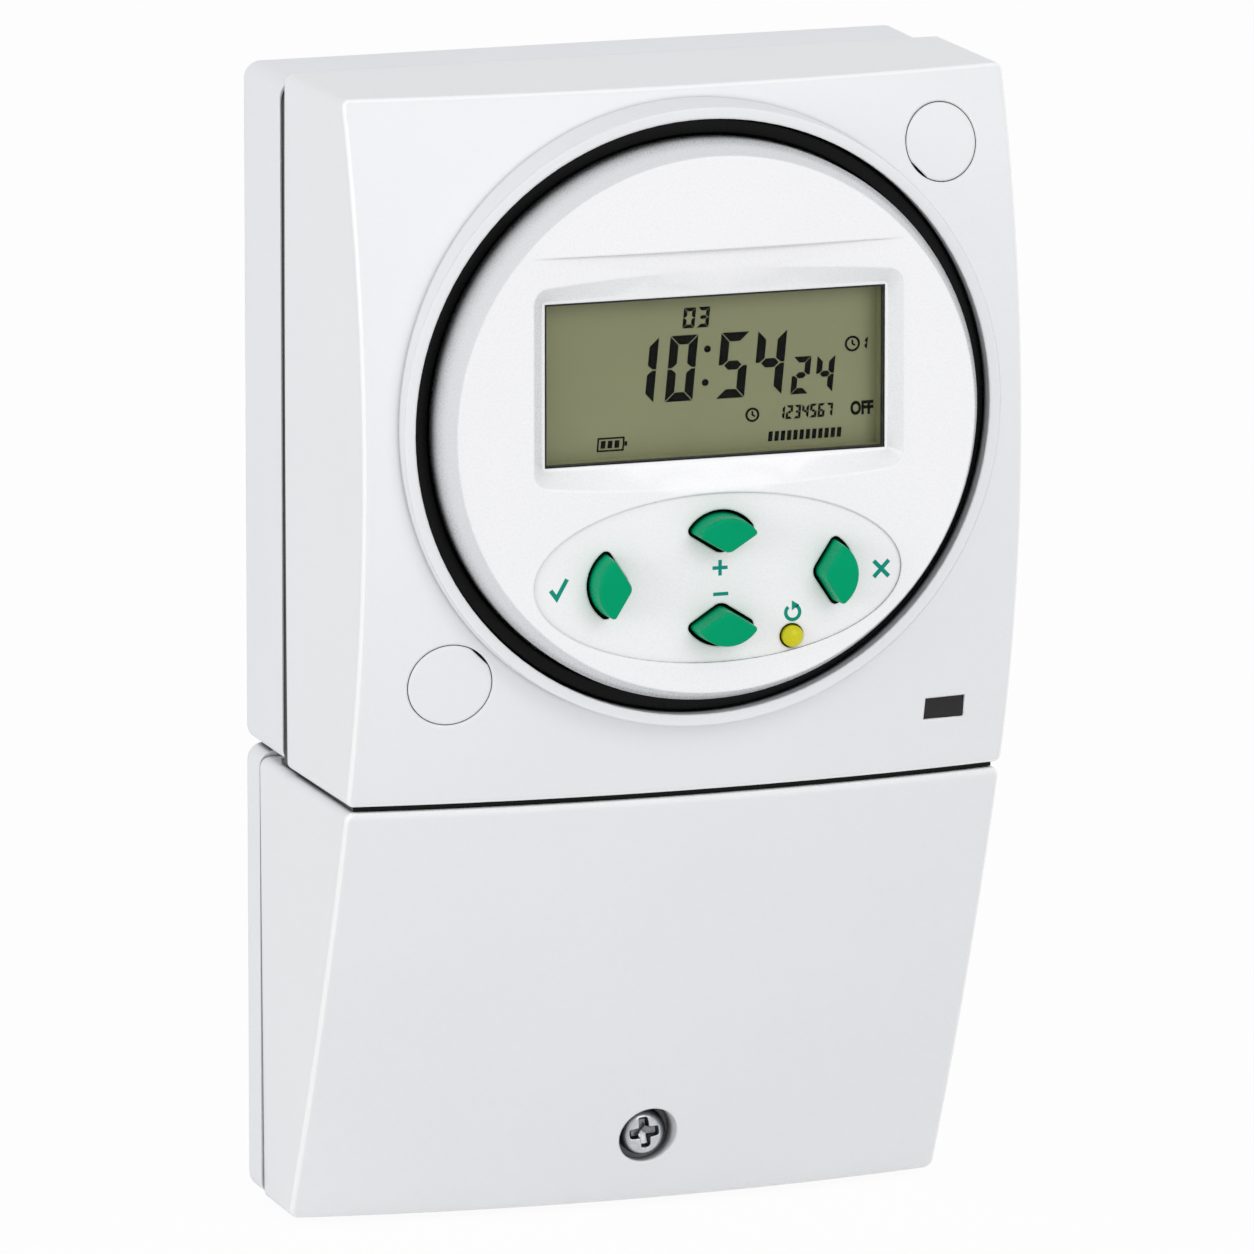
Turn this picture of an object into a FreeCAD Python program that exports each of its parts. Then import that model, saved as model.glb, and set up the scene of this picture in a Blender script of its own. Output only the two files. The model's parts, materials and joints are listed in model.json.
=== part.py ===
import FreeCAD, Part
import math
import os
import Sketcher

# Surface-mounted digital timer switch.
# Frame: X to the right, Z up, the wall is the plane Y = 0 and the front faces -Y.
# Depths are measured from the wall towards the front, so a depth of 20 is Y = -20.

doc = FreeCAD.newDocument("timer_switch")
sheet = doc.addObject("Spreadsheet::Sheet", "Sizes")


class Size:
    """A length read from the sheet: its number and the expression that gives it."""

    def __init__(self, text, value):
        self.text, self.value = text, float(value)

    def _join(self, other, sign, value, swap=False):
        left, right = (text_of(other), self.text) if swap else (self.text, text_of(other))
        return Size("(%s %s %s)" % (left, sign, right), value)

    def __add__(self, o):
        return self._join(o, "+", self.value + value_of(o))

    def __radd__(self, o):
        return self._join(o, "+", value_of(o) + self.value, True)

    def __sub__(self, o):
        return self._join(o, "-", self.value - value_of(o))

    def __rsub__(self, o):
        return self._join(o, "-", value_of(o) - self.value, True)

    def __mul__(self, o):
        return self._join(o, "*", self.value * value_of(o))

    def __rmul__(self, o):
        return self._join(o, "*", value_of(o) * self.value, True)

    def __truediv__(self, o):
        return self._join(o, "/", self.value / value_of(o))

    def __neg__(self):
        return Size("(-1 * %s)" % self.text, -self.value)


def value_of(size):
    return size.value if isinstance(size, Size) else float(size)


def text_of(size):
    return size.text if isinstance(size, Size) else repr(float(size))


class Sizes:
    """Writes the sheet and hands each cell out by its name."""

    def __init__(self, table):
        for line, (name, value) in enumerate(table.items(), 1):
            sheet.set("A%d" % line, name)
            sheet.set("B%d" % line, str(value))
            sheet.setAlias("B%d" % line, name)
            setattr(self, name, Size("Sizes." + name, value))


SIZES = {
    # housing
    "body_width": 106.8,               # width of the covers at the back
    "front_draft": 0.7,                # how far each side of the covers leans in towards the front
    "rear_step": 0.2,                  # how far the housing's sides lie inside the covers' sides
    "wall": 2.4,                       # wall of the covers
    "rear_wall": 2.6,                  # wall of the rear housing and the backplate
    "floor_thick": 2.4,                # floor against the wall
    "rear_depth": 18.5,                # depth of the rear housing
    "cover_back": 20.5,                # depth at which the front cover starts
    "lip_reach": 3.4,                  # lip of the rear housing inside the front cover
    "lip_thick": 1.8,                  # thickness of that lip
    "lip_root": 0.4,                   # how far the lip is rooted in the housing's side walls
    "lip_gap": 0.15,                   # clearance between lip and cover
    "rear_top": 88.8,                  # height of the rear housing's top
    "top_step": 1.5,                   # how far the front cover's top stands above the housing
    "top_draft": 1.3,                  # how much it rises towards the front
    "rear_bottom_gap": 0.4,            # gap between the rear housing and the backplate
    "joint_height": -18.0,             # height of the joint between the covers
    "joint_gap": 0.9,                  # gap at that joint
    "plate_bottom": -88.8,             # height of the backplate's bottom
    "plate_depth": 6.4,                # depth of the backplate
    "plate_gap": 0.3,                  # gap between backplate and terminal cover
    "bottom_step": 0.3,                # how far the terminal cover's bottom lies below the plate
    "bottom_draft": 0.2,               # how much it drops towards the front
    "cover_corner": 1.2,               # rounding of the covers' corners
    "lower_corner": 1.6,               # rounding of the terminal cover's corners
    "rear_corner": 2.6,          # rounding of the housing's and backplate's corners
    "edge_round": 0.9,                 # rounding of the front edges
    # crown of the front
    "apex_depth": 58.6,                # greatest depth of the side edge
    "apex_height": 35.0,               # height where that depth lies
    "crown_tall": 160.0,               # upright radius of the front cover
    "crown_low": 580.0,                # upright radius of the terminal cover
    "crown_wide": 312.0,               # level radius of both covers
    # dial
    "dial_x": 0.35,                    # place of the dial's centre
    "dial_height": 41.3,               # height of the dial's centre
    "dial_radius": 43.0,               # radius of the dial at the foot of its bevel
    "face_radius": 41.2,               # radius of the flat dial face
    "dial_edge": 64.0,                 # depth of the foot of the bevel
    "face_depth": 68.0,                # depth of the dial face
    "face_thick": 4.0,                 # thickness of the dial face
    "dial_wall": 2.5,                  # wall of the dial's skirt
    "dial_back": 47.5,                 # depth of the dial's back edge
    "rim_inner": 45.85,                 # inner radius of the raised rim
    "rim_width": 1.8,                  # width of the rim
    "rim_depth": 61.75,                # depth of the top of the rim
    "rim_back": 50.0,                  # depth of the rear end of the rim
    "ring_seat": 57.0,                 # depth of the shoulder under the black ring
    "ring_depth": 59.7,                # depth of the top of the black ring
    "ring_gap": 0.15,                  # clearance at the black ring
    "dial_fit": 0.3,                   # clearance of the dial in the rim
    # visor
    "visor_foot": 68.4,                # height of the step under the visor
    "visor_rise": 0.9,                 # rise of the visor at its step
    "visor_radius": 500.0,             # radius of the visor's crown
    "visor_top": 82.0,                 # height where the visor runs out
    # display
    "display_x": 0.7,                  # middle of the display
    "display_z": 48.45,                # height of the middle of the display
    "window_wide": 54.2,               # width of the display opening
    "window_tall": 25.1,               # height of the display opening
    "recess_wide": 59.0,               # width of the recess round it
    "recess_tall": 30.9,               # height of the recess at its sides
    "recess_deep": 2.1,                # depth of the recess
    "recess_bow": 270.0,               # radius of the recess's long edges
    "window_corner": 0.6,        # corner radius at the foot of the slopes
    "recess_round": 2.6,               # corner radius of the recess
    "recess_land": 0.4,               # flat left between the slopes and the window
    "pane_flange": 2.0,                # flange of the window pane
    "pane_flange_thick": 1.2,          # thickness of that flange
    "glass_thick": 2.8,                # thickness of the display cell
    "frame_wall": 2.0,                 # wall of the display frame
    "strip_width": 2.4,                # width of a rubber contact strip
    "fit": 0.15,                       # clearance between fixed pieces
    # keys
    "keys_x": 1.0,                     # middle of the key group
    "keys_z": 17.75,                   # height of the middle of the key group
    "key_out_tall": 7.2,               # distance of the upper and lower keys from the middle
    "key_out_wide": 18.05,             # distance of the side keys from the middle
    "key_half": 5.15,                   # half length of a key
    "key_point": 3.2,                  # length of the pointed side of a key
    "key_arc": 5.9,                    # radius of the round side of a key
    "key_tip": 0.5,              # rounding of a key's two ends
    "key_nose": 1.4,             # rounding of its pointed side
    "key_rise": 4.0,                   # height of a key above the face
    "key_gap": 0.45,                   # clearance of a key in its hole
    "key_flange": 1.3,                 # flange that keeps a key in
    "key_flange_thick": 1.4,           # thickness of that flange
    "key_edge": 0.45,            # rounding of a key's upper edge
    "key_travel": 0.8,                 # travel of a key
    "key_taper": 2.5,                  # taper of a key in degrees
    "stem_radius": 1.6,                # radius of a key's stem
    "oval_half_wide": 29.3,            # half width of the oval panel
    "oval_half_tall": 13.05,           # half height of the oval panel
    "oval_deep": 0.3,                  # depth of the oval panel
    "reset_x": 12.3,                   # place of the reset button
    "reset_z": 8.1,                    # height of the reset button
    "reset_radius": 1.65,              # radius of the reset button
    "reset_rise": 1.3,                 # height of the reset button above the face
    # boards
    "board_thick": 1.6,                # thickness of a circuit board
    "board_depth": 55.0,               # depth of the display board's back
    "board_radius": 40.0,              # radius of the display board
    "switch_side": 6.0,                # side of a push switch
    "switch_tall": 3.5,                # height of a push switch
    "plunger_radius": 1.7,             # radius of its plunger
    "post_radius": 2.2,                # radius of a board post
    "main_depth": 8.0,                 # depth of the main board's back
    "main_margin": 3.35,               # free space beside the main board
    "main_low": -10.0,                 # height of the main board's lower edge
    "main_high": 68.0,                 # height of the main board's upper edge
    # caps and body screws
    "cap_upper_radius": 5.65,                 # radius of the upper screw cap
    "cap_lower_radius": 6.2,     # radius of the lower screw cap
    "cap_gap": 0.3,                    # clearance of a cap in its recess
    "cap_upper_inset": 12.5,           # distance of the upper cap from the side
    "cap_upper_z": 80.1,               # height of the upper cap
    "cap_upper_seat": 49.0,            # depth of the upper cap's seat
    "cap_lower_inset": 14.7,           # distance of the lower cap from the side
    "cap_lower_z": 1.7,                # height of the lower cap
    "cap_lower_seat": 52.2,            # depth of the lower cap's seat
    "cap_travel": 12.0,                # travel of a cap as it comes out
    "notch_wide": 3.6,                 # width of a cap's pry notch
    "notch_deep": 0.28,                 # depth of that notch
    "boss_radius": 5.6,                # outer radius of a screw boss
    "boss_bore": 3.9,                  # bore above the screw head
    "boss_back": 24.5,                 # depth where the screw bosses meet
    "head_seat": 27.0,                 # depth under the body screw's head
    "screw_radius": 1.75,              # radius of the body and cover screws
    "head_radius": 3.5,                # radius of their heads
    "head_tall": 2.4,                  # height of their heads
    # indicator
    "lamp_inset": 11.8,                # distance of the indicator from the side
    "lamp_z": -7.7,                   # height of the indicator
    "lamp_wide": 6.7,                  # width of the indicator opening
    "lamp_tall": 3.5,                  # height of the indicator opening
    "lamp_front": 53.9,                # depth of the indicator's front
    # terminal cover screw
    "screw_x": 2.2,                    # place of the cover screw
    "screw_z": -77.8,                  # height of the cover screw
    "dish_radius": 4.7,                # radius of the recess round the screw
    "dish_floor": 24.8,                # depth of the floor of that recess
    "tube_wall": 2.0,                  # wall round the recess
    "post_depth": 14.0,                # depth of the backplate's screw post
    "insert_radius": 3.0,              # radius of the threaded insert
    # terminals
    "block_half": 36.0,                # half width of the terminal block
    "block_low": -44.0,                # height of the terminal block's foot
    "block_high": -22.0,               # height of the terminal block's head
    "block_front": 30.5,               # depth of the terminal block's front
    "pitch": 13.0,                     # distance between terminals
    "clamp_side": 7.6,                 # side of a terminal clamp
    "clamp_travel": 1.4,               # travel of a clamp as its screw turns
    "clamp_gap": 0.3,                  # clearance of a clamp in its room
    "ledge": 1.2,                      # ledge that carries a terminal screw's head
    "wire_radius": 2.6,                # radius of a wire hole
    # components on the main board
    "riser_half": 20.0,                # half width of the riser board
    "riser_height": 30.0,              # height of the riser board
    "core_x": -20.0,                   # middle of the transformer
    "core_z": 48.0,                    # height of its middle
    "core_wide": 28.0,                 # width of its core
    "core_tall": 24.0,                 # height of its core
    "core_deep": 20.0,                 # depth of its core
    "coil_inset": 4.0,                 # how far its coil lies inside the core's sides
    "coil_over": 2.4,                  # how far its coil stands out above and below
    "coil_step": 2.0,                  # step between coil and core
    "relay_x": 26.5,                   # middle of the relay
    "relay_z": 44.3,                   # height of its middle
    "relay_wide": 29.0,                # width of the relay
    "relay_tall": 12.6,                # height of the relay
    "relay_deep": 15.7,                # depth of the relay
    "can_x": 28.0,                     # place of the capacitor
    "can_z": 20.0,                     # height of the capacitor
    "can_radius": 6.3,                 # radius of the capacitor
    "can_tall": 20.0,                  # length of the capacitor
    "cell_x": -22.0,                   # place of the backup cell
    "cell_z": 14.0,                    # height of the backup cell
    "cell_radius": 10.0,               # radius of the backup cell
    "cell_tall": 5.4,                  # thickness of the backup cell
    "led_radius": 1.5,                 # radius of the indicator's lamp
    "led_tall": 2.4,                   # length of the indicator's lamp
    "board_head": 2.0,                 # radius of a board screw's head
    "board_head_tall": 1.4,            # height of a board screw's head
    "board_shank": 1.05,               # radius of a board screw's shank
}
S = Sizes(SIZES)
# sizes that follow from those above
S.front_width = S.body_width - 2.0 * S.front_draft
S.rear_width = S.body_width - 2.0 * S.rear_step
S.cover_top_back = S.rear_top + S.top_step
S.cover_top_front = S.cover_top_back + S.top_draft
S.rear_bottom = S.joint_height + S.rear_bottom_gap
S.plate_top = S.joint_height * 1.0
S.bottom_back = S.plate_bottom - S.bottom_step
S.bottom_front = S.bottom_back - S.bottom_draft
S.cap_upper_x = S.body_width / 2 - S.cap_upper_inset
S.cap_lower_x = S.cap_lower_inset - S.body_width / 2
S.lamp_x = S.body_width / 2 - S.lamp_inset
doc.recompute()

FRONT = FreeCAD.Vector(0, -1, 0)


def put(obj, prop, size):
    """Gives a property its number, tied to the sheet where it comes from there."""
    if isinstance(size, Size):
        obj.setExpression(prop, size.text)
    else:
        target, names = obj, prop.split(".")
        for name in names[:-1]:
            target = getattr(target, name)
        setattr(target, names[-1], size)


def place(obj, x=0.0, y=0.0, z=0.0):
    put_base = (("x", x), ("y", y), ("z", z))
    for axis, size in put_base:
        if isinstance(size, Size):
            obj.setExpression("Placement.Base." + axis, size.text)
        elif size:
            obj.setExpression("Placement.Base." + axis, repr(float(size)))


def body(name):
    made = doc.addObject("PartDesign::Body", name)
    made.Label = name
    return made


def sketch(owner, role, name, x=0.0, y=0.0, z=0.0):
    """A sketch on one of the body's own planes, moved by x, y, z in the plane's axes."""
    made = owner.newObject("Sketcher::SketchObject", name)
    plane = [f for f in owner.Origin.OriginFeatures if f.Role == role][0]
    made.AttachmentSupport = [(plane, "")]
    made.MapMode = "FlatFace"
    base = FreeCAD.Vector(value_of(x), value_of(y), value_of(z))
    made.AttachmentOffset = FreeCAD.Placement(base, FreeCAD.Rotation())
    for axis, size in (("x", x), ("y", y), ("z", z)):
        if isinstance(size, Size):
            made.setExpression("AttachmentOffset.Base." + axis, size.text)
    return made


def front(owner, name, depth=0.0):
    """A sketch parallel to the wall, with x to the right and y up."""
    return sketch(owner, "XZ_Plane", name, z=depth)


def fix(sk, geo, pos, x, y):
    """Ties a point of the sketch to its place from the sketch's origin."""
    for kind, size, axis in (("DistanceX", x, -2), ("DistanceY", y, -1)):
        if abs(value_of(size)) < 1e-9:
            sk.addConstraint(Sketcher.Constraint("PointOnObject", geo, pos, axis))
            continue
        num = sk.addConstraint(Sketcher.Constraint(kind, -1, 1, geo, pos, value_of(size)))
        if isinstance(size, Size):
            sk.setExpression("Constraints[%d]" % num, size.text)


def outline(sk, points, arcs=None):
    """A closed outline through the points; arcs gives side number: (radius, which side)."""
    arcs = arcs or {}
    xy = [(value_of(p[0]), value_of(p[1])) for p in points]
    geos = []
    for i in range(len(xy)):
        a, b = FreeCAD.Vector(*xy[i], 0), FreeCAD.Vector(*xy[(i + 1) % len(xy)], 0)
        if i not in arcs:
            geos.append((sk.addGeometry(Part.LineSegment(a, b), False), False, 1, 2))
            continue
        radius, side = arcs[i]
        r, half = value_of(radius), a.distanceToPoint(b) / 2
        along = (b - a).normalize()
        normal = FreeCAD.Vector(-along.y, along.x, 0) * side
        middle = (a + b) / 2 + normal * (r - math.sqrt(r * r - half * half))
        arc = Part.Arc(a, middle, b)
        geo = sk.addGeometry(arc, False)
        start = sk.getPoint(geo, 1)
        first = 1 if start.distanceToPoint(a) < 1e-6 else 2
        geos.append((geo, radius, first, 3 - first))
    for i, (geo, radius, first, last) in enumerate(geos):
        nxt = geos[(i + 1) % len(geos)]
        sk.addConstraint(Sketcher.Constraint("Coincident", geo, last, nxt[0], nxt[2]))
    for (geo, radius, first, last), p in zip(geos, points):
        fix(sk, geo, first, p[0], p[1])
        if radius is not False:
            num = sk.addConstraint(Sketcher.Constraint("Radius", geo, value_of(radius)))
            if isinstance(radius, Size):
                sk.setExpression("Constraints[%d]" % num, radius.text)
    return sk


def box_outline(sk, x0, y0, x1, y1, round_by=None):
    """A rectangle from its corners, with rounded corners where a radius is given."""
    if round_by is None:
        return outline(sk, [(x0, y0), (x1, y0), (x1, y1), (x0, y1)])
    r = round_by
    pts = [(x0 + r, y0), (x1 - r, y0), (x1, y0 + r), (x1, y1 - r),
           (x1 - r, y1), (x0 + r, y1), (x0, y1 - r), (x0, y0 + r)]
    return outline(sk, pts, {1: (r, -1), 3: (r, -1), 5: (r, -1), 7: (r, -1)})


def circle(sk, x, y, radius):
    centre = FreeCAD.Vector(value_of(x), value_of(y), 0)
    geo = sk.addGeometry(Part.Circle(centre, FreeCAD.Vector(0, 0, 1), value_of(radius)), False)
    fix(sk, geo, 3, x, y)
    num = sk.addConstraint(Sketcher.Constraint("Radius", geo, value_of(radius)))
    if isinstance(radius, Size):
        sk.setExpression("Constraints[%d]" % num, radius.text)
    return sk


def pad(owner, sk, length, name, taper=None):
    made = owner.newObject("PartDesign::Pad", name)
    made.Profile = sk
    put(made, "Length", length)
    if taper is not None:
        put(made, "TaperAngle", taper)
    sk.Visibility = False
    owner.Tip = made
    return made


def pocket(owner, sk, length, name, towards_front=True):
    """Cuts from the sketch towards the front, or towards the wall."""
    made = owner.newObject("PartDesign::Pocket", name)
    made.Profile = sk
    put(made, "Length", length)
    made.Reversed = towards_front
    owner.Tip = made
    return made


def turn(owner, sk, axis, name, angle=360.0, kind="PartDesign::Revolution"):
    made = owner.newObject(kind, name)
    made.Profile = sk
    made.ReferenceAxis = (sk, [axis])
    made.Angle = angle
    made.Midplane = angle < 360.0
    owner.Tip = made
    return made


def cylinder(name, x, z, radius, depth0, depth1):
    """A plain round bar along the depth."""
    made = doc.addObject("Part::Cylinder", name)
    made.Label = name
    put(made, "Radius", radius)
    put(made, "Height", depth1 - depth0)
    made.Placement = FreeCAD.Placement(FreeCAD.Vector(), FreeCAD.Rotation(FreeCAD.Vector(1, 0, 0), 90))
    place(made, x, -depth0 if isinstance(depth0, Size) else -float(depth0), z)
    return made


def block(name, x0, x1, z0, z1, depth0, depth1):
    """A plain block between two depths."""
    made = doc.addObject("Part::Box", name)
    made.Label = name
    put(made, "Length", x1 - x0)
    put(made, "Width", depth1 - depth0)
    put(made, "Height", z1 - z0)
    place(made, x0, -depth1 if isinstance(depth1, Size) else -float(depth1), z0)
    return made


def fuse(name, *parts):
    made = doc.addObject("Part::MultiFuse", name)
    made.Label = name
    made.Shapes = list(parts)
    return made


def cut(name, base, *tools):
    made = doc.addObject("Part::Cut", name)
    made.Label = name
    made.Base = base
    made.Tool = tools[0] if len(tools) == 1 else fuse(name + "_tools", *tools)
    return made


def common(name, one, two):
    made = doc.addObject("Part::MultiCommon", name)
    made.Label = name
    made.Shapes = [one, two]
    return made


def round_edges(name, base, radius, picks):
    """Rounds the edges of a finished shape whose middle passes the test in picks."""
    doc.recompute()
    made = doc.addObject("Part::Fillet", name)
    made.Label = name
    made.Base = base
    chosen = []
    for number, edge in enumerate(base.Shape.Edges, 1):
        if picks(edge):
            chosen.append((number, value_of(radius), value_of(radius)))
    made.Edges = chosen
    return made


# The crowned covers.
# Each front is a level arc turned about an axis that runs from side to side behind the wall,
# so it is crowned both ways. The lower axis lies on the line from the upper axis through
# the joint, so that the two fronts meet without a kink.
half_back = S.body_width / 2
half_front = S.front_width / 2
upper_axis_depth = S.apex_depth - S.crown_tall
joint_sine = (S.apex_height - S.joint_height) / S.crown_tall
joint_cosine = Size("sqrt(1 - %s * %s)" % (joint_sine.text, joint_sine.text),
                    math.sqrt(1 - joint_sine.value ** 2))
joint_depth = upper_axis_depth + S.crown_tall * joint_cosine
lower_axis_depth = joint_depth - S.crown_low * joint_cosine
lower_axis_height = S.joint_height + S.crown_low * joint_sine


def crowned(name, axis_depth, axis_height, radius, inset, window):
    """The block behind a crowned front, cut to the window given in depth and height."""
    made = body(name)
    sk = sketch(made, "XY_Plane", name + "_profile", y=-axis_depth, z=axis_height)
    back = radius - 52.0
    outline(sk, [(-(half_back - inset), -back), (half_back - inset, -back),
                 (half_front - inset, -(radius - inset)), (-(half_front - inset), -(radius - inset))],
            {2: (S.crown_wide - inset, 1)})
    turn(made, sk, "H_Axis", name + "_crown", 80.0 if radius.value < 300 else 62.0)
    trim = sketch(made, "YZ_Plane", name + "_window")
    outline(trim, [(-400.0, -300.0), (300.0, -300.0), (300.0, 600.0), (-400.0, 600.0)])
    outline(trim, [(-depth, height) for depth, height in window])
    around = made.newObject("PartDesign::Pocket", name + "_trim")
    around.Profile = trim
    around.Length = 300.0
    around.Midplane = True
    made.Tip = around
    return made


reach = S.rim_depth + 25.0
bottom_slope = (S.bottom_front - S.bottom_back) * 6.45 + S.bottom_back
upper_outer = crowned("upper_outer", upper_axis_depth, S.apex_height, S.crown_tall, 0.0 * S.wall,
                      [(S.cover_back, S.joint_height), (reach, S.joint_height),
                       (reach, S.cover_top_front), (S.cover_back, S.cover_top_back)])
upper_inner = crowned("upper_inner", upper_axis_depth, S.apex_height, S.crown_tall, S.wall,
                      [(S.cover_back - 6.0, S.joint_height + S.wall), (reach, S.joint_height + S.wall),
                       (reach, S.cover_top_front - S.wall), (S.cover_back - 6.0, S.cover_top_back - S.wall)])
lower_top = S.joint_height - S.joint_gap
lower_back = S.plate_depth + S.plate_gap
lower_outer = crowned("lower_outer", lower_axis_depth, lower_axis_height, S.crown_low, 0.0 * S.wall,
                      [(lower_back, S.bottom_back), (reach, bottom_slope),
                       (reach, lower_top), (lower_back, lower_top)])
lower_inner = crowned("lower_inner", lower_axis_depth, lower_axis_height, S.crown_low, S.wall,
                      [(lower_back - 4.0, S.bottom_back + S.wall), (reach, bottom_slope + S.wall),
                       (reach, lower_top - S.wall), (lower_back - 4.0, lower_top - S.wall)])
doc.recompute()

NODES = {}


def along_depth(edge):
    """True for an outer corner edge that runs from the back to the front."""
    if len(edge.Vertexes) < 2:
        return False
    step = edge.Vertexes[1].Point - edge.Vertexes[0].Point
    return abs(step.y) > 8 and abs(step.x) < 3 and abs(step.z) < 8


def rounded_shell(name, outer, inner, back, corner):
    """A cover: corners rounded, then the front edges, then hollowed out."""
    corners = round_edges(name + "_corners", outer, corner, along_depth)
    doc.recompute()

    def front_edge(edge):
        return min(-v.Point.y for v in edge.Vertexes) > value_of(back) + 5

    edges = round_edges(name + "_edges", corners, S.edge_round, front_edge)
    doc.recompute()
    return cut(name + "_shell", edges, inner)


upper_shell = rounded_shell("upper", upper_outer, upper_inner, S.cover_back, S.cover_corner)
lower_shell = rounded_shell("lower", lower_outer, lower_inner, lower_back, S.lower_corner)
doc.recompute()
for made in (upper_shell, lower_shell):
    print(made.Name, made.Shape.isValid(), round(made.Shape.Volume))


# Front cover: shell, raised rim, screw bosses, cap seats and indicator opening.
def ring_body(name, profile):
    """A round piece about the dial's axis, from radius and depth pairs."""
    made = body(name)
    sk = sketch(made, "XY_Plane", name + "_profile", x=S.dial_x, z=S.dial_height)
    outline(sk, [(radius, -depth) for radius, depth in profile])
    turn(made, sk, "V_Axis", name + "_turn")
    return made


rim = ring_body("rim_tube", [(S.rim_inner, S.rim_back), (S.rim_inner + S.rim_width + 0.4, S.rim_back),
                             (S.rim_inner + S.rim_width, S.rim_depth), (S.rim_inner, S.rim_depth)])
opening = cylinder("dial_opening", S.dial_x, S.dial_height, S.rim_inner, S.rim_back - 8.0, S.rim_depth + 5.0)
caps = (("upper", S.cap_upper_x, S.cap_upper_z, S.cap_upper_seat, S.cap_upper_radius),
        ("lower", S.cap_lower_x, S.cap_lower_z, S.cap_lower_seat, S.cap_lower_radius))
cover_adds, cover_cuts = [upper_shell, rim], [opening]
for which, x, z, seat, cap_radius in caps:
    cover_adds.append(cylinder("cover_boss_" + which, x, z, S.boss_radius, S.boss_back, seat))
    cover_adds.append(cylinder("cover_seat_" + which, x, z, cap_radius + 1.7, seat - 1.6, reach))
    cover_cuts.append(cylinder("cap_recess_" + which, x, z, cap_radius + S.cap_gap, seat, reach))
    cover_cuts.append(cylinder("head_bore_" + which, x, z, S.boss_bore, S.head_seat, seat + 1.0))
    cover_cuts.append(cylinder("screw_bore_" + which, x, z, S.screw_radius + 0.35, S.boss_back - 1.0,
                               S.head_seat + 1.0))
cover_cuts.append(block("lamp_opening", S.lamp_x - S.lamp_wide / 2, S.lamp_x + S.lamp_wide / 2,
                        S.lamp_z - S.lamp_tall / 2, S.lamp_z + S.lamp_tall / 2,
                        S.lamp_front - 6.0, S.lamp_front + 8.0))
# the seats are kept under the crowned front
seats_inside = common("cover_bosses", upper_outer, fuse("cover_boss_set", *cover_adds[2:]))
NODES["front_cover"] = cut("front_cover", fuse("front_cover_solid", upper_shell, rim, seats_inside), *cover_cuts)

# Screw caps: flush with the crowned front, with a pry notch towards the dial.
for which, x, z, seat, cap_radius in caps:
    disc = cylinder("cap_disc_" + which, x, z, cap_radius, seat, reach)
    plug = cylinder("cap_plug_" + which, x, z, S.boss_bore - 0.3, seat - 3.0, seat)
    bore = cylinder("cap_bore_" + which, x, z, S.boss_bore - 1.5, seat - 4.0, seat + 0.8)
    notch = doc.addObject("Part::Box", "cap_notch_" + which)
    put(notch, "Length", S.notch_wide)
    put(notch, "Width", 30.0)
    put(notch, "Height", S.notch_deep + 0.65)
    turn_to = math.degrees(math.atan2(S.dial_height.value - z.value, S.dial_x.value - x.value))
    notch.Placement = FreeCAD.Placement(FreeCAD.Vector(), FreeCAD.Rotation(FreeCAD.Vector(0, -1, 0), turn_to - 90),
                                        FreeCAD.Vector())
    reach_x = cap_radius - S.notch_deep
    away = math.radians(turn_to)
    side = math.radians(turn_to - 90)
    half_notch = S.notch_wide / 2
    corner_x = x + reach_x * math.cos(away) - half_notch * math.cos(side)
    corner_z = z + reach_x * math.sin(away) - half_notch * math.sin(side)
    place(notch, corner_x, -(seat + 30.9), corner_z)
    NODES["cap_" + which] = cut("cap_" + which, fuse("cap_solid_" + which,
                                common("cap_top_" + which, upper_outer, disc), plug), bore, notch)

# Rear housing: a tray with a lip that enters the front cover.
rear_inside = half_front - S.wall - S.lip_gap
tray_inside = rear_inside - S.lip_root
rear = body("rear_tray")
half_rear = S.rear_width / 2
sk = front(rear, "rear_outline")
box_outline(sk, -half_rear, S.rear_bottom, half_rear, S.rear_top, S.rear_corner)
pad(rear, sk, S.rear_depth, "rear_pad")
doc.recompute()
sk = front(rear, "rear_inside", S.floor_thick)
box_outline(sk, -tray_inside, S.rear_bottom + S.rear_wall, tray_inside, S.rear_top - S.rear_wall)
pocket(rear, sk, S.rear_depth, "rear_hollow")
lip_low = S.joint_height + S.wall + S.lip_gap
lip_high = S.cover_top_back - S.wall - S.lip_gap
lip = body("rear_lip")
sk = front(lip, "lip_outline", S.rear_depth - 6.0)
box_outline(sk, -rear_inside, lip_low, rear_inside, lip_high)
box_outline(sk, -(rear_inside - S.lip_thick), lip_low + S.lip_thick,
            rear_inside - S.lip_thick, lip_high - S.lip_thick)
pad(lip, sk, S.cover_back + S.lip_reach - S.rear_depth + 6.0, "lip_pad")
rear_adds, rear_cuts = [rear, lip], []
for which, x, z, seat, cap_radius in caps:
    rear_adds.append(cylinder("rear_boss_" + which, x, z, S.boss_radius - 1.0, 0.5, S.boss_back))
    rear_cuts.append(cylinder("rear_pilot_" + which, x, z, S.screw_radius, 5.0, S.boss_back + 1.0))
board_holes = ((-42.0, 60.0), (42.0, 60.0), (0.0, -5.0), (0.0, 62.0))
for n, (x, z) in enumerate(board_holes, 1):
    rear_adds.append(cylinder("standoff_%d" % n, x, z, 3.0, 0.5, S.main_depth))
# keyhole for the upper wall screw: round for the head, narrow above for the shank
rear_cuts.append(cylinder("keyhole_round", 0.0, 74.0, 4.6, -1.0, S.floor_thick + 1.0))
rear_cuts.append(block("keyhole_slot", -2.4, 2.4, 74.0, 81.0, -1.0, S.floor_thick + 1.0))
NODES["rear_housing"] = cut("rear_housing", fuse("rear_solid", *rear_adds), *rear_cuts)

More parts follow.
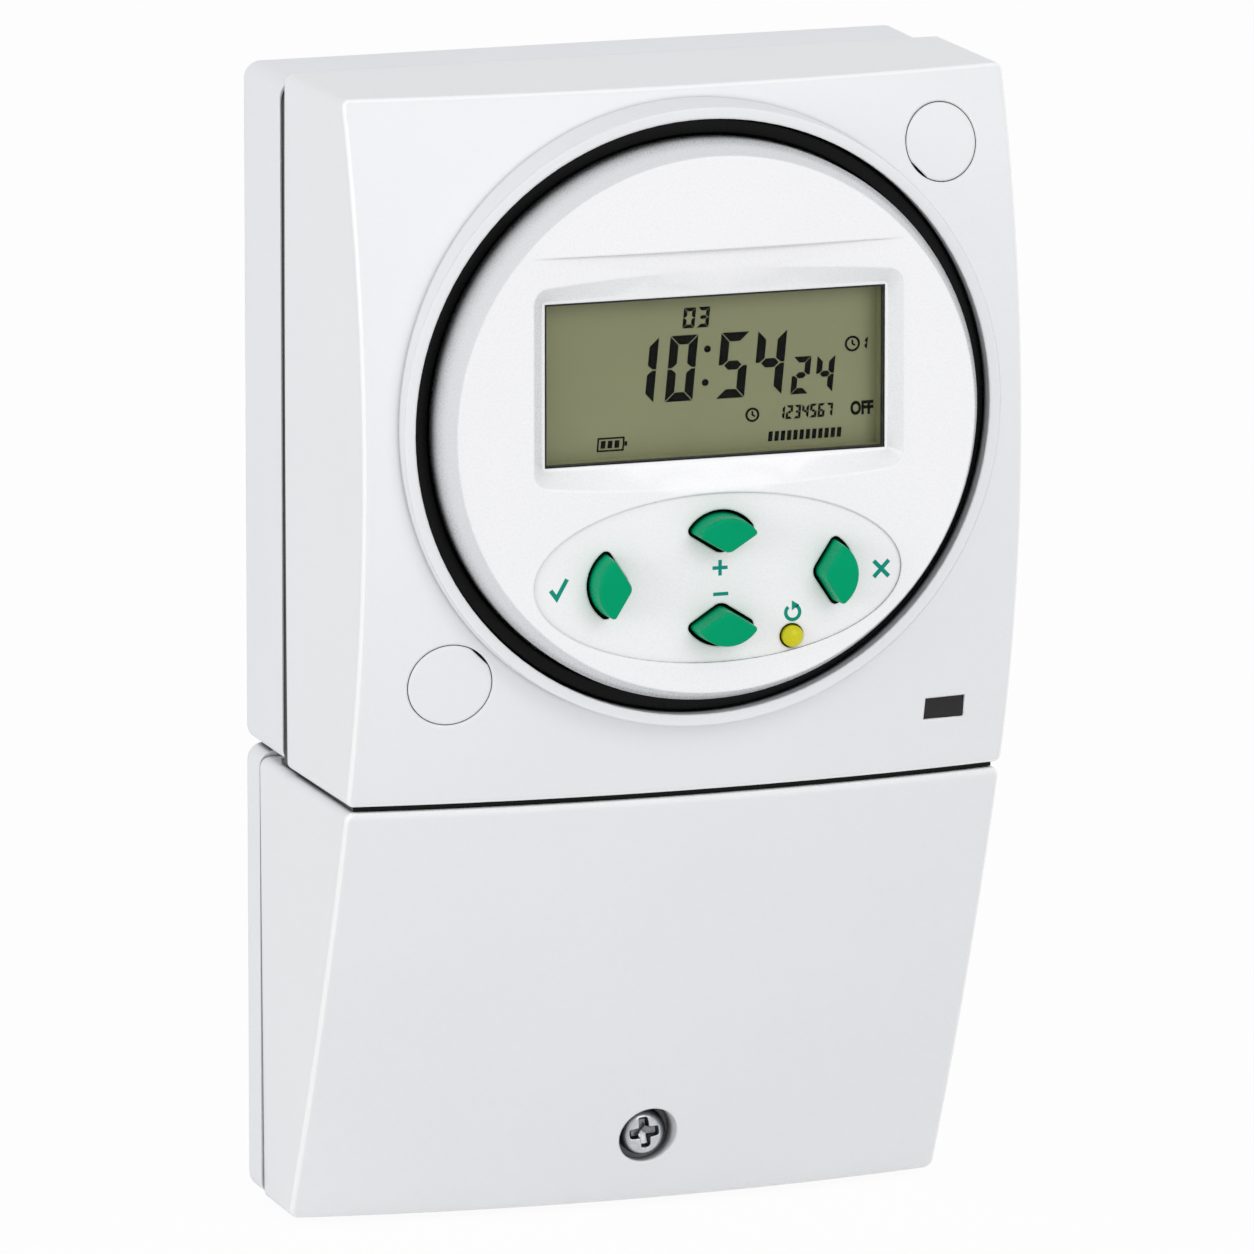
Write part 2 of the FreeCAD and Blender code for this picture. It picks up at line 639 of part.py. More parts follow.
# Backplate: a tray with the rear cable entry, fixing holes and the cover screw's post.
plate = body("plate_tray")
sk = front(plate, "plate_outline")
box_outline(sk, -half_rear, S.plate_bottom, half_rear, S.plate_top, S.rear_corner)
pad(plate, sk, S.plate_depth, "plate_pad")
doc.recompute()
sk = front(plate, "plate_inside", S.floor_thick)
box_outline(sk, -(half_rear - S.rear_wall), S.plate_bottom + S.rear_wall,
            half_rear - S.rear_wall, S.plate_top - S.rear_wall)
pocket(plate, sk, S.plate_depth, "plate_hollow")
post = cylinder("plate_post", S.screw_x, S.screw_z, S.insert_radius + 2.0, 0.5, S.post_depth)
post_bore = cylinder("plate_post_bore", S.screw_x, S.screw_z, S.insert_radius, 5.0, S.post_depth + 1.0)
entry = block("cable_entry", -20.0, 20.0, -68.0, -50.0, -1.0, S.floor_thick + 1.0)
plate_cuts = [post_bore, entry]
for n, x in enumerate((-38.0, 38.0), 1):
    plate_cuts.append(cylinder("fix_hole_%d" % n, x, -60.0, 2.5, -1.0, S.floor_thick + 1.0))
NODES["backplate"] = cut("backplate", fuse("plate_solid", plate, post), *plate_cuts)
NODES["screw_insert"] = cut("screw_insert",
                            cylinder("insert_body", S.screw_x, S.screw_z, S.insert_radius, 5.0, S.post_depth),
                            cylinder("insert_bore", S.screw_x, S.screw_z, S.screw_radius + 0.3, 4.0,
                                     S.post_depth + 1.0))

# Terminal cover: shell, dished screw recess with its tube.
dish_outer = S.dish_radius + S.tube_wall
tube = common("lower_tube", lower_outer,
              cylinder("lower_tube_bar", S.screw_x, S.screw_z, dish_outer, S.post_depth + S.plate_gap, reach))
dish = cylinder("lower_dish", S.screw_x, S.screw_z, S.dish_radius, S.dish_floor, reach)
shank_bore = cylinder("lower_bore", S.screw_x, S.screw_z, S.screw_radius + 0.3, 5.0, reach)
clip_bore = cylinder("lower_clip_bore", S.screw_x, S.screw_z, 4.0, 5.0, S.post_depth + S.plate_gap + 2.0)
NODES["terminal_cover"] = cut("terminal_cover", fuse("lower_solid", lower_shell, tube),
                              dish, shank_bore, clip_bore)


# Screws: a pan head with a cross recess on a plain shank.
def screw(name, x, z, seat, tip, radius, head_radius, head_tall):
    made = body(name)
    sk = sketch(made, "XY_Plane", name + "_profile")
    outline(sk, [(0.0, -tip), (radius - 0.5, -tip), (radius, -(tip + 0.8)), (radius, -seat),
                 (head_radius, -seat), (head_radius, -(seat + head_tall * 0.45)),
                 (0.0, -(seat + head_tall))],
            {5: (head_radius * 1.9, 1)})
    turn(made, sk, "V_Axis", name + "_turn")
    doc.recompute()
    sk = front(made, name + "_cross", seat + head_tall * 0.35)
    a, b = head_radius * 0.58, head_radius * 0.15
    outline(sk, [(-a, -b), (-b, -b), (-b, -a), (b, -a), (b, -b), (a, -b),
                 (a, b), (b, b), (b, a), (-b, a), (-b, b), (-a, b)])
    pocket(made, sk, head_tall, name + "_recess")
    place(made, x, 0.0, z)
    NODES[name] = made
    return made


screw("cover_screw", S.screw_x, S.screw_z, S.dish_floor, 7.0, S.screw_radius, S.head_radius, S.head_tall)
NODES["screw_retainer"] = cut("screw_retainer",
                              cylinder("clip_disc", S.screw_x, S.screw_z, 3.6, S.post_depth + S.plate_gap + 0.9,
                                       S.post_depth + S.plate_gap + 1.9),
                              cylinder("clip_bore", S.screw_x, S.screw_z, S.screw_radius + 0.1, 10.0, 20.0))
for which, x, z, seat, cap_radius in caps:
    screw("body_screw_" + which, x, z, S.head_seat, 8.0, S.screw_radius, S.head_radius, S.head_tall)

# Dial face: a turned cup with a bevelled rim; the display recess, the visor and the oval panel.
dial = ring_body("dial_cup", [
    (0.0, S.face_depth - S.face_thick), (0.0, S.face_depth), (S.face_radius, S.face_depth),
    (S.dial_radius, S.dial_edge), (S.dial_radius, S.ring_seat), (S.rim_inner - S.dial_fit, S.ring_seat),
    (S.rim_inner - S.dial_fit, S.dial_back), (S.dial_radius - S.dial_wall, S.dial_back),
    (S.dial_radius - S.dial_wall, S.face_depth - S.face_thick)])
doc.recompute()


def recess_outline(sk, half_wide, half_tall, corner, bow):
    """The display recess: bowed long edges and rounded corners."""
    w, t, r, x, z = half_wide, half_tall, corner, S.display_x, S.display_z
    return outline(sk, [(x - w + r, z - t), (x + w - r, z - t), (x + w, z - t + r), (x + w, z + t - r),
                        (x + w - r, z + t), (x - w + r, z + t), (x - w, z + t - r), (x - w, z - t + r)],
                   {0: (bow, -1), 1: (r, -1), 3: (r, -1), 4: (bow, -1), 5: (r, -1), 7: (r, -1)})


shallow = recess_outline(front(dial, "recess_top", S.face_depth), S.recess_wide / 2, S.recess_tall / 2,
                         S.recess_round, S.recess_bow)
deep = recess_outline(front(dial, "recess_floor", S.face_depth - S.recess_deep),
                      S.window_wide / 2 + S.recess_land, S.window_tall / 2 + S.recess_land,
                      S.window_corner, S.recess_bow * 10.0)
slope = dial.newObject("PartDesign::SubtractiveLoft", "recess_slopes")
slope.Profile = deep
slope.Sections = [shallow]
slope.Ruled = True
dial.Tip = slope
doc.recompute()
sk = front(dial, "window_outline", S.face_depth - S.face_thick - 1.0)
box_outline(sk, S.display_x - S.window_wide / 2, S.display_z - S.window_tall / 2,
            S.display_x + S.window_wide / 2, S.display_z + S.window_tall / 2)
pocket(dial, sk, S.face_thick + 3.0, "window_cut")
sk = front(dial, "reset_outline", S.face_depth - S.face_thick - 1.0)
circle(sk, S.reset_x, S.reset_z, S.reset_radius + 0.25)
pocket(dial, sk, S.face_thick + 3.0, "reset_cut")
posts = ((-30.5, 22.5), (31.0, 22.5), (-19.5, 73.0), (19.5, 73.0))
sk = front(dial, "post_outline", S.board_depth + S.board_thick)
for x, z in posts:
    circle(sk, x, z, S.post_radius)
pad(dial, sk, S.face_depth - S.face_thick - S.board_depth - S.board_thick + 0.5, "board_posts")
sk = front(dial, "pilot_outline", S.board_depth + S.board_thick - 1.0)
for x, z in posts:
    circle(sk, x, z, 1.1)
pocket(dial, sk, 6.0, "post_pilots")

# The visor is a wide upright cylinder, leaned so that it runs out into the face at its top.
visor_run = S.visor_top - S.visor_foot
visor_slant = Size("sqrt(%s * %s + %s * %s)" % ((visor_run.text,) * 2 + (S.visor_rise.text,) * 2),
                   math.hypot(visor_run.value, S.visor_rise.value))
lean_sine, lean_cosine = S.visor_rise / visor_slant, visor_run / visor_slant
visor_below = 60.0
visor_round = doc.addObject("Part::Cylinder", "visor_round")
put(visor_round, "Radius", S.visor_radius)
put(visor_round, "Height", 140.0)
lean = -math.degrees(math.asin(lean_sine.value))
visor_round.Placement = FreeCAD.Placement(FreeCAD.Vector(), FreeCAD.Rotation(FreeCAD.Vector(1, 0, 0), lean))
place(visor_round, S.dial_x, S.visor_radius * lean_cosine - lean_sine * visor_below - S.face_depth - S.visor_rise,
      S.visor_foot - S.visor_radius * lean_sine - lean_cosine * visor_below)
visor_zone = block("visor_zone", -45.0, 45.0, S.visor_foot, S.visor_top + 2.0, S.face_depth - 0.6,
                   S.face_depth + 3.0)
visor_disc = cylinder("visor_disc", S.dial_x, S.dial_height, S.face_radius, S.face_depth - 0.6, S.face_depth + 3.0)
visor = common("visor", common("visor_slab", visor_round, visor_zone), visor_disc)

# The oval panel is sunk a little into the face.
ellipse = doc.addObject("Part::Ellipse", "oval_line")
put(ellipse, "MajorRadius", S.oval_half_wide)
put(ellipse, "MinorRadius", S.oval_half_tall)
ellipse.Placement = FreeCAD.Placement(FreeCAD.Vector(), FreeCAD.Rotation(FreeCAD.Vector(1, 0, 0), 90))
place(ellipse, S.keys_x - 0.5, -(S.face_depth - S.oval_deep), S.keys_z + 0.1)
oval = doc.addObject("Part::Extrusion", "oval_panel")
oval.Base = ellipse
oval.DirMode = "Custom"
oval.Dir = FRONT
oval.LengthFwd = 3.0
oval.Solid = True


# Keys: one side round, the other pointed at the middle of the group.
def key_outline(sk, grow):
    half, point = S.key_half + grow, S.key_point + grow
    return outline(sk, [(-half, 0.0), (0.0, -point), (half, 0.0)], {2: (S.key_arc + grow, -1)})


key_places = (("key_up", S.keys_x, S.keys_z + S.key_out_tall, 0.0),
              ("key_down", S.keys_x, S.keys_z - S.key_out_tall, 180.0),
              ("key_left", S.keys_x - S.key_out_wide, S.keys_z, -90.0),
              ("key_right", S.keys_x + S.key_out_wide, S.keys_z, 90.0))
flange_front = S.face_depth - S.face_thick - 0.2
flange_back = flange_front - S.key_flange_thick
stem_back = S.board_depth + S.board_thick + S.switch_tall + 0.35 + S.key_travel + 0.1
key_holes = []


def round_edges_of(owner, name, radius, picks):
    """Rounds the body's edges that pass the test."""
    base = owner.Tip
    names = ["Edge%d" % (i + 1) for i, e in enumerate(base.Shape.Edges) if picks(e)]
    made = owner.newObject("PartDesign::Fillet", name)
    made.Base = (base, names)
    put(made, "Radius", radius)
    owner.Tip = made
    doc.recompute()
    return made


def round_corners(owner, name, tip, nose):
    """Rounds a key's two ends and its pointed side."""
    def rises(edge):
        ends = [v.Point for v in edge.Vertexes]
        return len(ends) == 2 and abs(ends[0].y - ends[1].y) > 3.5 and abs(ends[0].x - ends[1].x) < 1.0

    round_edges_of(owner, name + "_nose", nose, lambda e: rises(e) and abs(e.Vertexes[0].Point.x) < 0.2)
    round_edges_of(owner, name + "_tips", tip, lambda e: rises(e) and abs(e.Vertexes[0].Point.x) > 4.0)


def stand(obj, x, z, angle):
    """Turns a piece about the depth axis and moves it to its place."""
    obj.Placement = FreeCAD.Placement(FreeCAD.Vector(), FreeCAD.Rotation(FreeCAD.Vector(0, 1, 0), angle))
    place(obj, x, 0.0, z)


for name, x, z, angle in key_places:
    key = body(name)
    key_outline(front(key, name + "_flange_line", flange_back), S.key_flange)
    pad(key, key.Group[-1], S.key_flange_thick, name + "_flange")
    key_outline(front(key, name + "_cap_line", flange_front), 0.0 * S.key_gap)
    pad(key, key.Group[-1], S.face_depth + S.key_rise - flange_front, name + "_cap", -S.key_taper)
    sk = front(key, name + "_stem_line", stem_back)
    circle(sk, 0.0, 0.0, S.stem_radius)
    pad(key, sk, flange_back - stem_back + 0.2, name + "_stem")
    doc.recompute()
    level = value_of(S.face_depth + S.key_rise)
    round_corners(key, name, S.key_tip, S.key_nose)
    round_edges_of(key, name + "_soft", S.key_edge,
                   lambda edge: all(abs(-v.Point.y - level) < 1e-3 for v in edge.Vertexes))
    stand(key, x, z, angle)
    NODES[name] = key
    hole = body(name + "_hole")
    key_outline(front(hole, name + "_hole_line", S.face_depth - S.face_thick - 1.0), S.key_gap)
    pad(hole, hole.Group[-1], S.face_thick + 4.0, name + "_hole_cut")
    doc.recompute()
    round_corners(hole, name + "_hole", S.key_tip + S.key_gap, S.key_nose + S.key_gap)
    stand(hole, x, z, angle)
    key_holes.append(hole)

ears = []
for side, sign in (("left", -1), ("right", 1)):
    inner, outer = S.rim_inner - 1.6, S.rim_inner + 3.6
    x0, x1 = (-outer, -inner) if sign < 0 else (inner, outer)
    ears.append(block("dial_ear_" + side, x0 + S.dial_x, x1 + S.dial_x, S.dial_height - 6.0, S.dial_height + 6.0,
                      S.dial_back, S.rim_back - 0.15))
NODES["dial_face"] = cut("dial_face", fuse("dial_solid", cut("dial_panelled", dial, oval), visor, *ears),
                         *key_holes)
NODES["seal_ring"] = ring_body("seal_ring", [
    (S.dial_radius + S.ring_gap, S.ring_seat), (S.rim_inner - S.ring_gap, S.ring_seat),
    (S.rim_inner - S.ring_gap, S.ring_depth - 0.4), (S.rim_inner - S.ring_gap - 0.4, S.ring_depth),
    (S.dial_radius + S.ring_gap + 0.4, S.ring_depth), (S.dial_radius + S.ring_gap, S.ring_depth - 0.4)])

# Reset button: a small domed pin with a flange.
reset = body("reset_button")
sk = sketch(reset, "XY_Plane", "reset_profile")
crown = S.face_depth + S.reset_rise
outline(sk, [(0.0, -stem_back), (1.3, -stem_back), (1.3, -flange_back), (S.reset_radius + 1.2, -flange_back),
             (S.reset_radius + 1.2, -flange_front), (S.reset_radius, -flange_front),
             (S.reset_radius, -(crown - 0.8)), (0.3, -crown), (0.0, -crown)],
        {6: (S.reset_radius * 1.3, 1)})
turn(reset, sk, "V_Axis", "reset_turn")
place(reset, S.reset_x, 0.0, S.reset_z)
NODES["reset_button"] = reset

# Display: stepped window pane, cell, frame and the two rubber contact strips.
pane_back = S.face_depth - S.face_thick - S.pane_flange_thick
glass_front = pane_back - 0.1
glass_back = glass_front - S.glass_thick
board_front = S.board_depth + S.board_thick
pane = body("lcd_window")
sk = front(pane, "pane_flange_line", pane_back)
wide, tall = S.window_wide / 2, S.window_tall / 2
box_outline(sk, S.display_x - wide - S.pane_flange, S.display_z - tall - S.pane_flange,
            S.display_x + wide + S.pane_flange, S.display_z + tall + S.pane_flange)
pad(pane, sk, S.pane_flange_thick - 0.05, "pane_flange_pad")
sk = front(pane, "pane_line", pane_back)
box_outline(sk, S.display_x - wide + S.fit, S.display_z - tall + S.fit,
            S.display_x + wide - S.fit, S.display_z + tall - S.fit)
pad(pane, sk, S.face_depth - S.recess_deep - pane_back - 0.1, "pane_pad")
NODES["lcd_window"] = pane
glass_wide, glass_tall = wide + 1.6, tall + 1.6
NODES["lcd_glass"] = block("lcd_glass", S.display_x - glass_wide, S.display_x + glass_wide,
                           S.display_z - glass_tall, S.display_z + glass_tall, glass_back, glass_front)
frame_body = body("lcd_frame")
sk = front(frame_body, "frame_line", board_front)
box_outline(sk, S.display_x - glass_wide - S.fit - S.frame_wall, S.display_z - glass_tall - S.fit - S.frame_wall,
            S.display_x + glass_wide + S.fit + S.frame_wall, S.display_z + glass_tall + S.fit + S.frame_wall)
box_outline(sk, S.display_x - glass_wide - S.fit, S.display_z - glass_tall - S.fit,
            S.display_x + glass_wide + S.fit, S.display_z + glass_tall + S.fit)
pad(frame_body, sk, glass_front - board_front, "frame_pad")
NODES["lcd_frame"] = frame_body
for side, z0 in (("upper", S.display_z + glass_tall - S.fit - S.strip_width),
                 ("lower", S.display_z - glass_tall + S.fit)):
    name = "contact_strip_" + side
    NODES[name] = block(name, S.display_x - 24.0, S.display_x + 24.0, z0, z0 + S.strip_width,
                        board_front, glass_back)

# Display board with its push switches and screws.
board = body("display_board")
sk = front(board, "display_board_line", S.board_depth)
circle(sk, S.dial_x, S.dial_height, S.board_radius)
for x, z in posts:
    circle(sk, x, z, 1.2)
pad(board, sk, S.board_thick, "display_board_pad")
NODES["display_board"] = board
buttons = [(x, z) for name, x, z, angle in key_places] + [(S.reset_x, S.reset_z)]
for n, (x, z) in enumerate(buttons, 1):
    half = S.switch_side / 2
    if n == 5:
        half = half * 0.62
    NODES["push_switch_%d" % n] = fuse(
        "push_switch_%d" % n,
        block("switch_body_%d" % n, x - half, x + half, z - half, z + half, board_front,
              board_front + S.switch_tall),
        cylinder("switch_plunger_%d" % n, x, z, S.plunger_radius if n < 5 else S.plunger_radius * 0.7,
                 board_front + 1.0, board_front + S.switch_tall + 0.35))
for n, (x, z) in enumerate(posts, 1):
    NODES["board_screw_%d" % n] = fuse(
        "board_screw_%d" % n,
        cylinder("board_head_%d" % n, x, z, S.board_head, S.board_depth - S.board_head_tall,
                 S.board_depth),
        cylinder("board_shank_%d" % n, x, z, S.board_shank, S.board_depth - 1.0,
                 board_front + 4.0))

# Main board, riser and the large components.
main = body("main_board")
sk = front(main, "main_line", S.main_depth)
main_half = tray_inside - S.main_margin
box_outline(sk, -main_half, S.main_low, main_half, S.main_high, 2.0)
circle(sk, S.cap_lower_x, S.cap_lower_z, S.boss_radius)
pad(main, sk, S.board_thick, "main_pad")
NODES["main_board"] = main
main_front = S.main_depth + S.board_thick


def component(name, x, z, wide, tall, depth0, depth1):
    """A block given by its middle and its sizes."""
    return block(name, x - wide / 2, x + wide / 2, z - tall / 2, z + tall / 2, depth0, depth1)


NODES["riser_board"] = block("riser_board", -S.riser_half, S.riser_half, S.riser_height,
                             S.riser_height + S.board_thick, main_front, S.board_depth)
NODES["transformer"] = fuse(
    "transformer",
    component("transformer_core", S.core_x, S.core_z, S.core_wide, S.core_tall, main_front,
              main_front + S.core_deep),
    component("transformer_coil", S.core_x, S.core_z, S.core_wide - 2.0 * S.coil_inset,
              S.core_tall + 2.0 * S.coil_over, main_front + S.coil_step,
              main_front + S.core_deep - S.coil_step))
NODES["relay"] = component("relay", S.relay_x, S.relay_z, S.relay_wide, S.relay_tall, main_front,
                           main_front + S.relay_deep)
NODES["capacitor"] = cylinder("capacitor", S.can_x, S.can_z, S.can_radius, main_front,
                              main_front + S.can_tall)
NODES["backup_cell"] = cylinder("backup_cell", S.cell_x, S.cell_z, S.cell_radius, main_front,
                                main_front + S.cell_tall)
NODES["indicator_lamp"] = cylinder("indicator_lamp", S.lamp_x, S.lamp_z, S.led_radius, main_front,
                                   main_front + S.led_tall)
lamp_half, lamp_tall = S.lamp_wide / 2 - 0.1, S.lamp_tall / 2 - 0.1
lamp_flange = S.lamp_front - 4.6
NODES["indicator_lens"] = fuse(
    "indicator_lens",
    block("lens_pane", S.lamp_x - lamp_half, S.lamp_x + lamp_half, S.lamp_z - lamp_tall, S.lamp_z + lamp_tall,
          lamp_flange, S.lamp_front),
    cylinder("lens_pipe", S.lamp_x, S.lamp_z, 1.3, main_front + 2.6, lamp_flange + 0.5))

# Terminals: one moulded block, five clamps with their screws.
rows = [(n, (n - 3) * S.pitch) for n in range(1, 6)]
terminal_body = block("terminal_moulding", -S.block_half, S.block_half, S.block_low, S.block_high,
                      S.floor_thick, S.block_front)
clamp_half = S.clamp_side / 2
clamp_z = (S.block_low + S.block_high) / 2 - 1.0
clamp_back, clamp_front = S.floor_thick + 7.0, S.block_front - 6.5
room_front = clamp_front + S.clamp_travel + S.clamp_gap
head_back = room_front + S.ledge
wire_depth = clamp_back + S.wire_radius + 1.4
terminal_cuts = []


def upright_bore(name, x, radius, z, length):
    """A round bore that runs upwards."""
    made = doc.addObject("Part::Cylinder", name)
    put(made, "Radius", radius)
    put(made, "Height", length)
    place(made, x, -wire_depth, z)
    return made


for n, x in rows:
    room = clamp_half + S.clamp_gap
    terminal_cuts += [
        block("clamp_room_%d" % n, x - room, x + room, clamp_z - room, clamp_z + room,
              clamp_back - S.clamp_gap, room_front),
        cylinder("shank_hole_%d" % n, x, clamp_z, 1.9, room_front - 0.5, head_back + 0.5),
        cylinder("driver_hole_%d" % n, x, clamp_z, 3.0, head_back, S.block_front + 1.0),
        upright_bore("wire_entry_%d" % n, x, S.wire_radius + 0.4, S.block_low - 1.0, 8.0)]
    cage = block("clamp_cage_%d" % n, x - clamp_half, x + clamp_half, clamp_z - clamp_half,
                 clamp_z + clamp_half, clamp_back, clamp_front)
    mouth = upright_bore("clamp_mouth_%d" % n, x, S.wire_radius, clamp_z - 15.0, 30.0)
    hole = cylinder("clamp_thread_%d" % n, x, clamp_z, 1.85, clamp_back + 3.0, clamp_front + 1.0)
    NODES["terminal_clamp_%d" % n] = cut("terminal_clamp_%d" % n, cage, mouth, hole)
    NODES["terminal_screw_%d" % n] = cut(
        "terminal_screw_%d" % n,
        fuse("terminal_screw_solid_%d" % n,
             cylinder("tscrew_head_%d" % n, x, clamp_z, 2.7, head_back, head_back + 2.0),
             cylinder("tscrew_shank_%d" % n, x, clamp_z, 1.55, clamp_back + 8.2, head_back + 0.5)),
        block("tscrew_slot_%d" % n, x - 2.9, x + 2.9, clamp_z - 0.4, clamp_z + 0.4,
              head_back + 1.1, head_back + 3.0))
NODES["terminal_block"] = cut("terminal_block", terminal_body, *terminal_cuts)

doc.recompute()
bad = [o.Label for o in doc.Objects if "Invalid" in o.State or "Error" in o.State]
if bad:
    raise RuntimeError("failed objects: %s" % bad)
for name, obj in NODES.items():
    obj.Label = name
    shape = obj.Shape
    if shape.isNull() or not shape.isValid() or len(shape.Solids) != 1:
        raise RuntimeError("%s: null %s, valid %s, solids %d" % (name, shape.isNull(), shape.isValid(),
                                                                 len(shape.Solids)))
os.makedirs("parts", exist_ok=True)
for name, obj in NODES.items():
    obj.Shape.exportStep("parts/%s.step" % name)
print(len(NODES), "pieces written")
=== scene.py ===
# %% [markdown]
# # A wall-mounted digital timer switch
# The object is a white moulded housing in two parts, with a round dial that holds a display, four
# green keys and a small reset button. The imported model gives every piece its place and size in
# metres. This file gives each surface the finish of the real one, and adds the details that are
# printed, moulded or lit.

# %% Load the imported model
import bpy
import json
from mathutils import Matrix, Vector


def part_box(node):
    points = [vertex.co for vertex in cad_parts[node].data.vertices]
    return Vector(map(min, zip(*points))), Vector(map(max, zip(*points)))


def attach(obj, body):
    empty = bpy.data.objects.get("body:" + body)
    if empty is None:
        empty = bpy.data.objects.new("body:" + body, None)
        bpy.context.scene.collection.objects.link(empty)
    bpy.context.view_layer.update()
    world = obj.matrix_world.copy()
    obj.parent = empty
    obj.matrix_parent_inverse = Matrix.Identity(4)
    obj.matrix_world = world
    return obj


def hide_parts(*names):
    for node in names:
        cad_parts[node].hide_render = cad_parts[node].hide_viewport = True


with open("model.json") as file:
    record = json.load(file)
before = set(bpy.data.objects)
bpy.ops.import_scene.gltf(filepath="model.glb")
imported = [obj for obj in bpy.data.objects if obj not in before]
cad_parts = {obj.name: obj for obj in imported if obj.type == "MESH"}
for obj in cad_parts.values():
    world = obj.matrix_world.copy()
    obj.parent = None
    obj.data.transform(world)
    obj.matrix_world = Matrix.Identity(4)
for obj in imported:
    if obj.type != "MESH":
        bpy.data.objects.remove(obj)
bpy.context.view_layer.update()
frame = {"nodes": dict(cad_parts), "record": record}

import json
import math
import bmesh
import bpy
from mathutils import Vector

nodes = frame["nodes"]
record = frame["record"]
slot_of = {part["node"]: part["material_slot"] for part in record["subparts"]}
body_of = {node: body for body, members in record["behaviour"]["bodies"].items() for node in members}
scene = bpy.context.scene

# %% [markdown]
# ## The camera
# The switch was photographed from its left and a little above, from far enough away that its edges
# stay nearly parallel. A long lens far from the object gives the same flat perspective. The camera
# is placed by its angles round the object, which is easier to match than a position in space.

# %% Two helpers for objects, and the camera
def linked(name, data):
    """A new object in the scene that shows this data."""
    made = bpy.data.objects.new(name, data)
    bpy.context.collection.objects.link(made)
    return made


def aimed(name, data, position, direction):
    """A camera or lamp at this position that looks in this direction."""
    made = linked(name, data)
    made.location = position
    made.rotation_mode = "QUATERNION"
    made.rotation_quaternion = direction.to_track_quat("-Z", "Y")
    return made


target = Vector((-0.0047, -0.040, 0.005))
camera_away = 2.4                                              # in metres
azimuth, elevation = math.radians(18.5), math.radians(11.85)
aim = Vector((math.sin(azimuth) * math.cos(elevation), math.cos(azimuth) * math.cos(elevation),
              -math.sin(elevation)))
lens_in_pixels, picture_in_pixels, sensor_mm = 15700, 1254, 36.0
camera_data = bpy.data.cameras.new("camera")
camera_data.sensor_width = sensor_mm
camera_data.lens = lens_in_pixels / picture_in_pixels * sensor_mm
camera_data.clip_start, camera_data.clip_end = 0.1, 20.0
scene.camera = aimed("camera", camera_data, target - aim * camera_away, aim)
print("lens", round(camera_data.lens), "mm")

# %% [markdown]
# ## Colours and nodes
# A colour is easiest to pick by its sRGB code, as a colour picker shows it, but a shader works in
# linear light. One function does that step everywhere. A second one adds a node with its settings
# and its links. A few more stand for the steps that every material takes, so that each one below
# reads from top to bottom like a recipe.


# %% Helpers for materials
def linear(code):
    """An sRGB code such as "F4F5F6" as linear red, green, blue and alpha."""
    parts = [int(code[i:i + 2], 16) / 255 for i in (0, 2, 4)]
    return [p / 12.92 if p <= 0.04045 else ((p + 0.055) / 1.055) ** 2.4 for p in parts] + [1.0]


def add(tree, kind, settings, inputs):
    """Adds a node. An input is a value, or the output socket that feeds it."""
    node = tree.nodes.new(kind)
    for name, value in settings.items():
        setattr(node, name, value)
    for name, value in inputs.items():
        if isinstance(value, bpy.types.NodeSocket):
            tree.links.new(value, node.inputs[name])
        else:
            node.inputs[name].default_value = value
    return node


def new_material(name):
    """An empty material with its output node, and the object coordinates that its patterns use."""
    made = bpy.data.materials.new(name)
    made.use_nodes = True
    tree = made.node_tree
    tree.nodes.clear()
    coords = tree.nodes.new("ShaderNodeTexCoord").outputs["Object"]
    return made, tree, coords, tree.nodes.new("ShaderNodeOutputMaterial")


def noise(tree, coords, size_mm, detail, **more):
    """A cloudy pattern with patches of about this size."""
    inputs = {"Vector": coords, "Scale": 1000.0 / size_mm, "Detail": detail, **more}
    return add(tree, "ShaderNodeTexNoise", {}, inputs).outputs["Fac"]


def stripes(tree, coords, direction, pitch_mm, distortion):
    """Stripes across one axis. The texture's own wave is 0.314 m long, which sets its scale."""
    inputs = {"Vector": coords, "Scale": 314.0 / pitch_mm, "Distortion": distortion}
    return add(tree, "ShaderNodeTexWave", {"bands_direction": direction}, inputs).outputs["Fac"]


def blend(tree, share, first, second):
    """A colour from the first, at share 0, to the second, at share 1. Each is a code or a socket."""
    first, second = [linear(one) if isinstance(one, str) else one for one in (first, second)]
    return add(tree, "ShaderNodeMix", {"data_type": "RGBA"}, {0: share, 6: first, 7: second}).outputs[2]


def ranged(tree, value, low, high, at_low=0.0, at_high=1.0):
    """Turns a value between low and high into one between at_low and at_high."""
    inputs = {"Value": value, "From Min": low, "From Max": high, "To Min": at_low, "To Max": at_high}
    return add(tree, "ShaderNodeMapRange", {}, inputs).outputs[0]


def maths(tree, operation, *values):
    """The result of a sum, product or comparison of these values."""
    return add(tree, "ShaderNodeMath", {"operation": operation}, dict(enumerate(values))).outputs[0]


def likeness(tree, first, second):
    """How far two directions agree: 1 for the same, 0 for square to each other."""
    node = add(tree, "ShaderNodeVectorMath", {"operation": "DOT_PRODUCT"}, {0: first, 1: second})
    return node.outputs["Value"]


def open_air(tree, reach_mm, low, high):
    """How open the place round a point is within this reach: 0 in a narrow one, 1 in the open."""
    near = add(tree, "ShaderNodeAmbientOcclusion", {"samples": 6}, {"Distance": reach_mm / 1000.0})
    return ranged(tree, near.outputs["AO"], low, high)


def bumped(tree, height, depth_mm, strength=1.0):
    """The node that gives a surface this relief."""
    inputs = {"Strength": strength, "Distance": depth_mm / 1000.0, "Height": height}
    return add(tree, "ShaderNodeBump", {}, inputs)


def finish_with(tree, output, **inputs):
    """Ends a material with the common surface shader. An underscore in a name stands for a space."""
    named = {name.replace("_", " "): value for name, value in inputs.items()}
    shader = add(tree, "ShaderNodeBsdfPrincipled", {}, named)
    tree.links.new(shader.outputs[0], output.inputs["Surface"])


print("helpers ready")
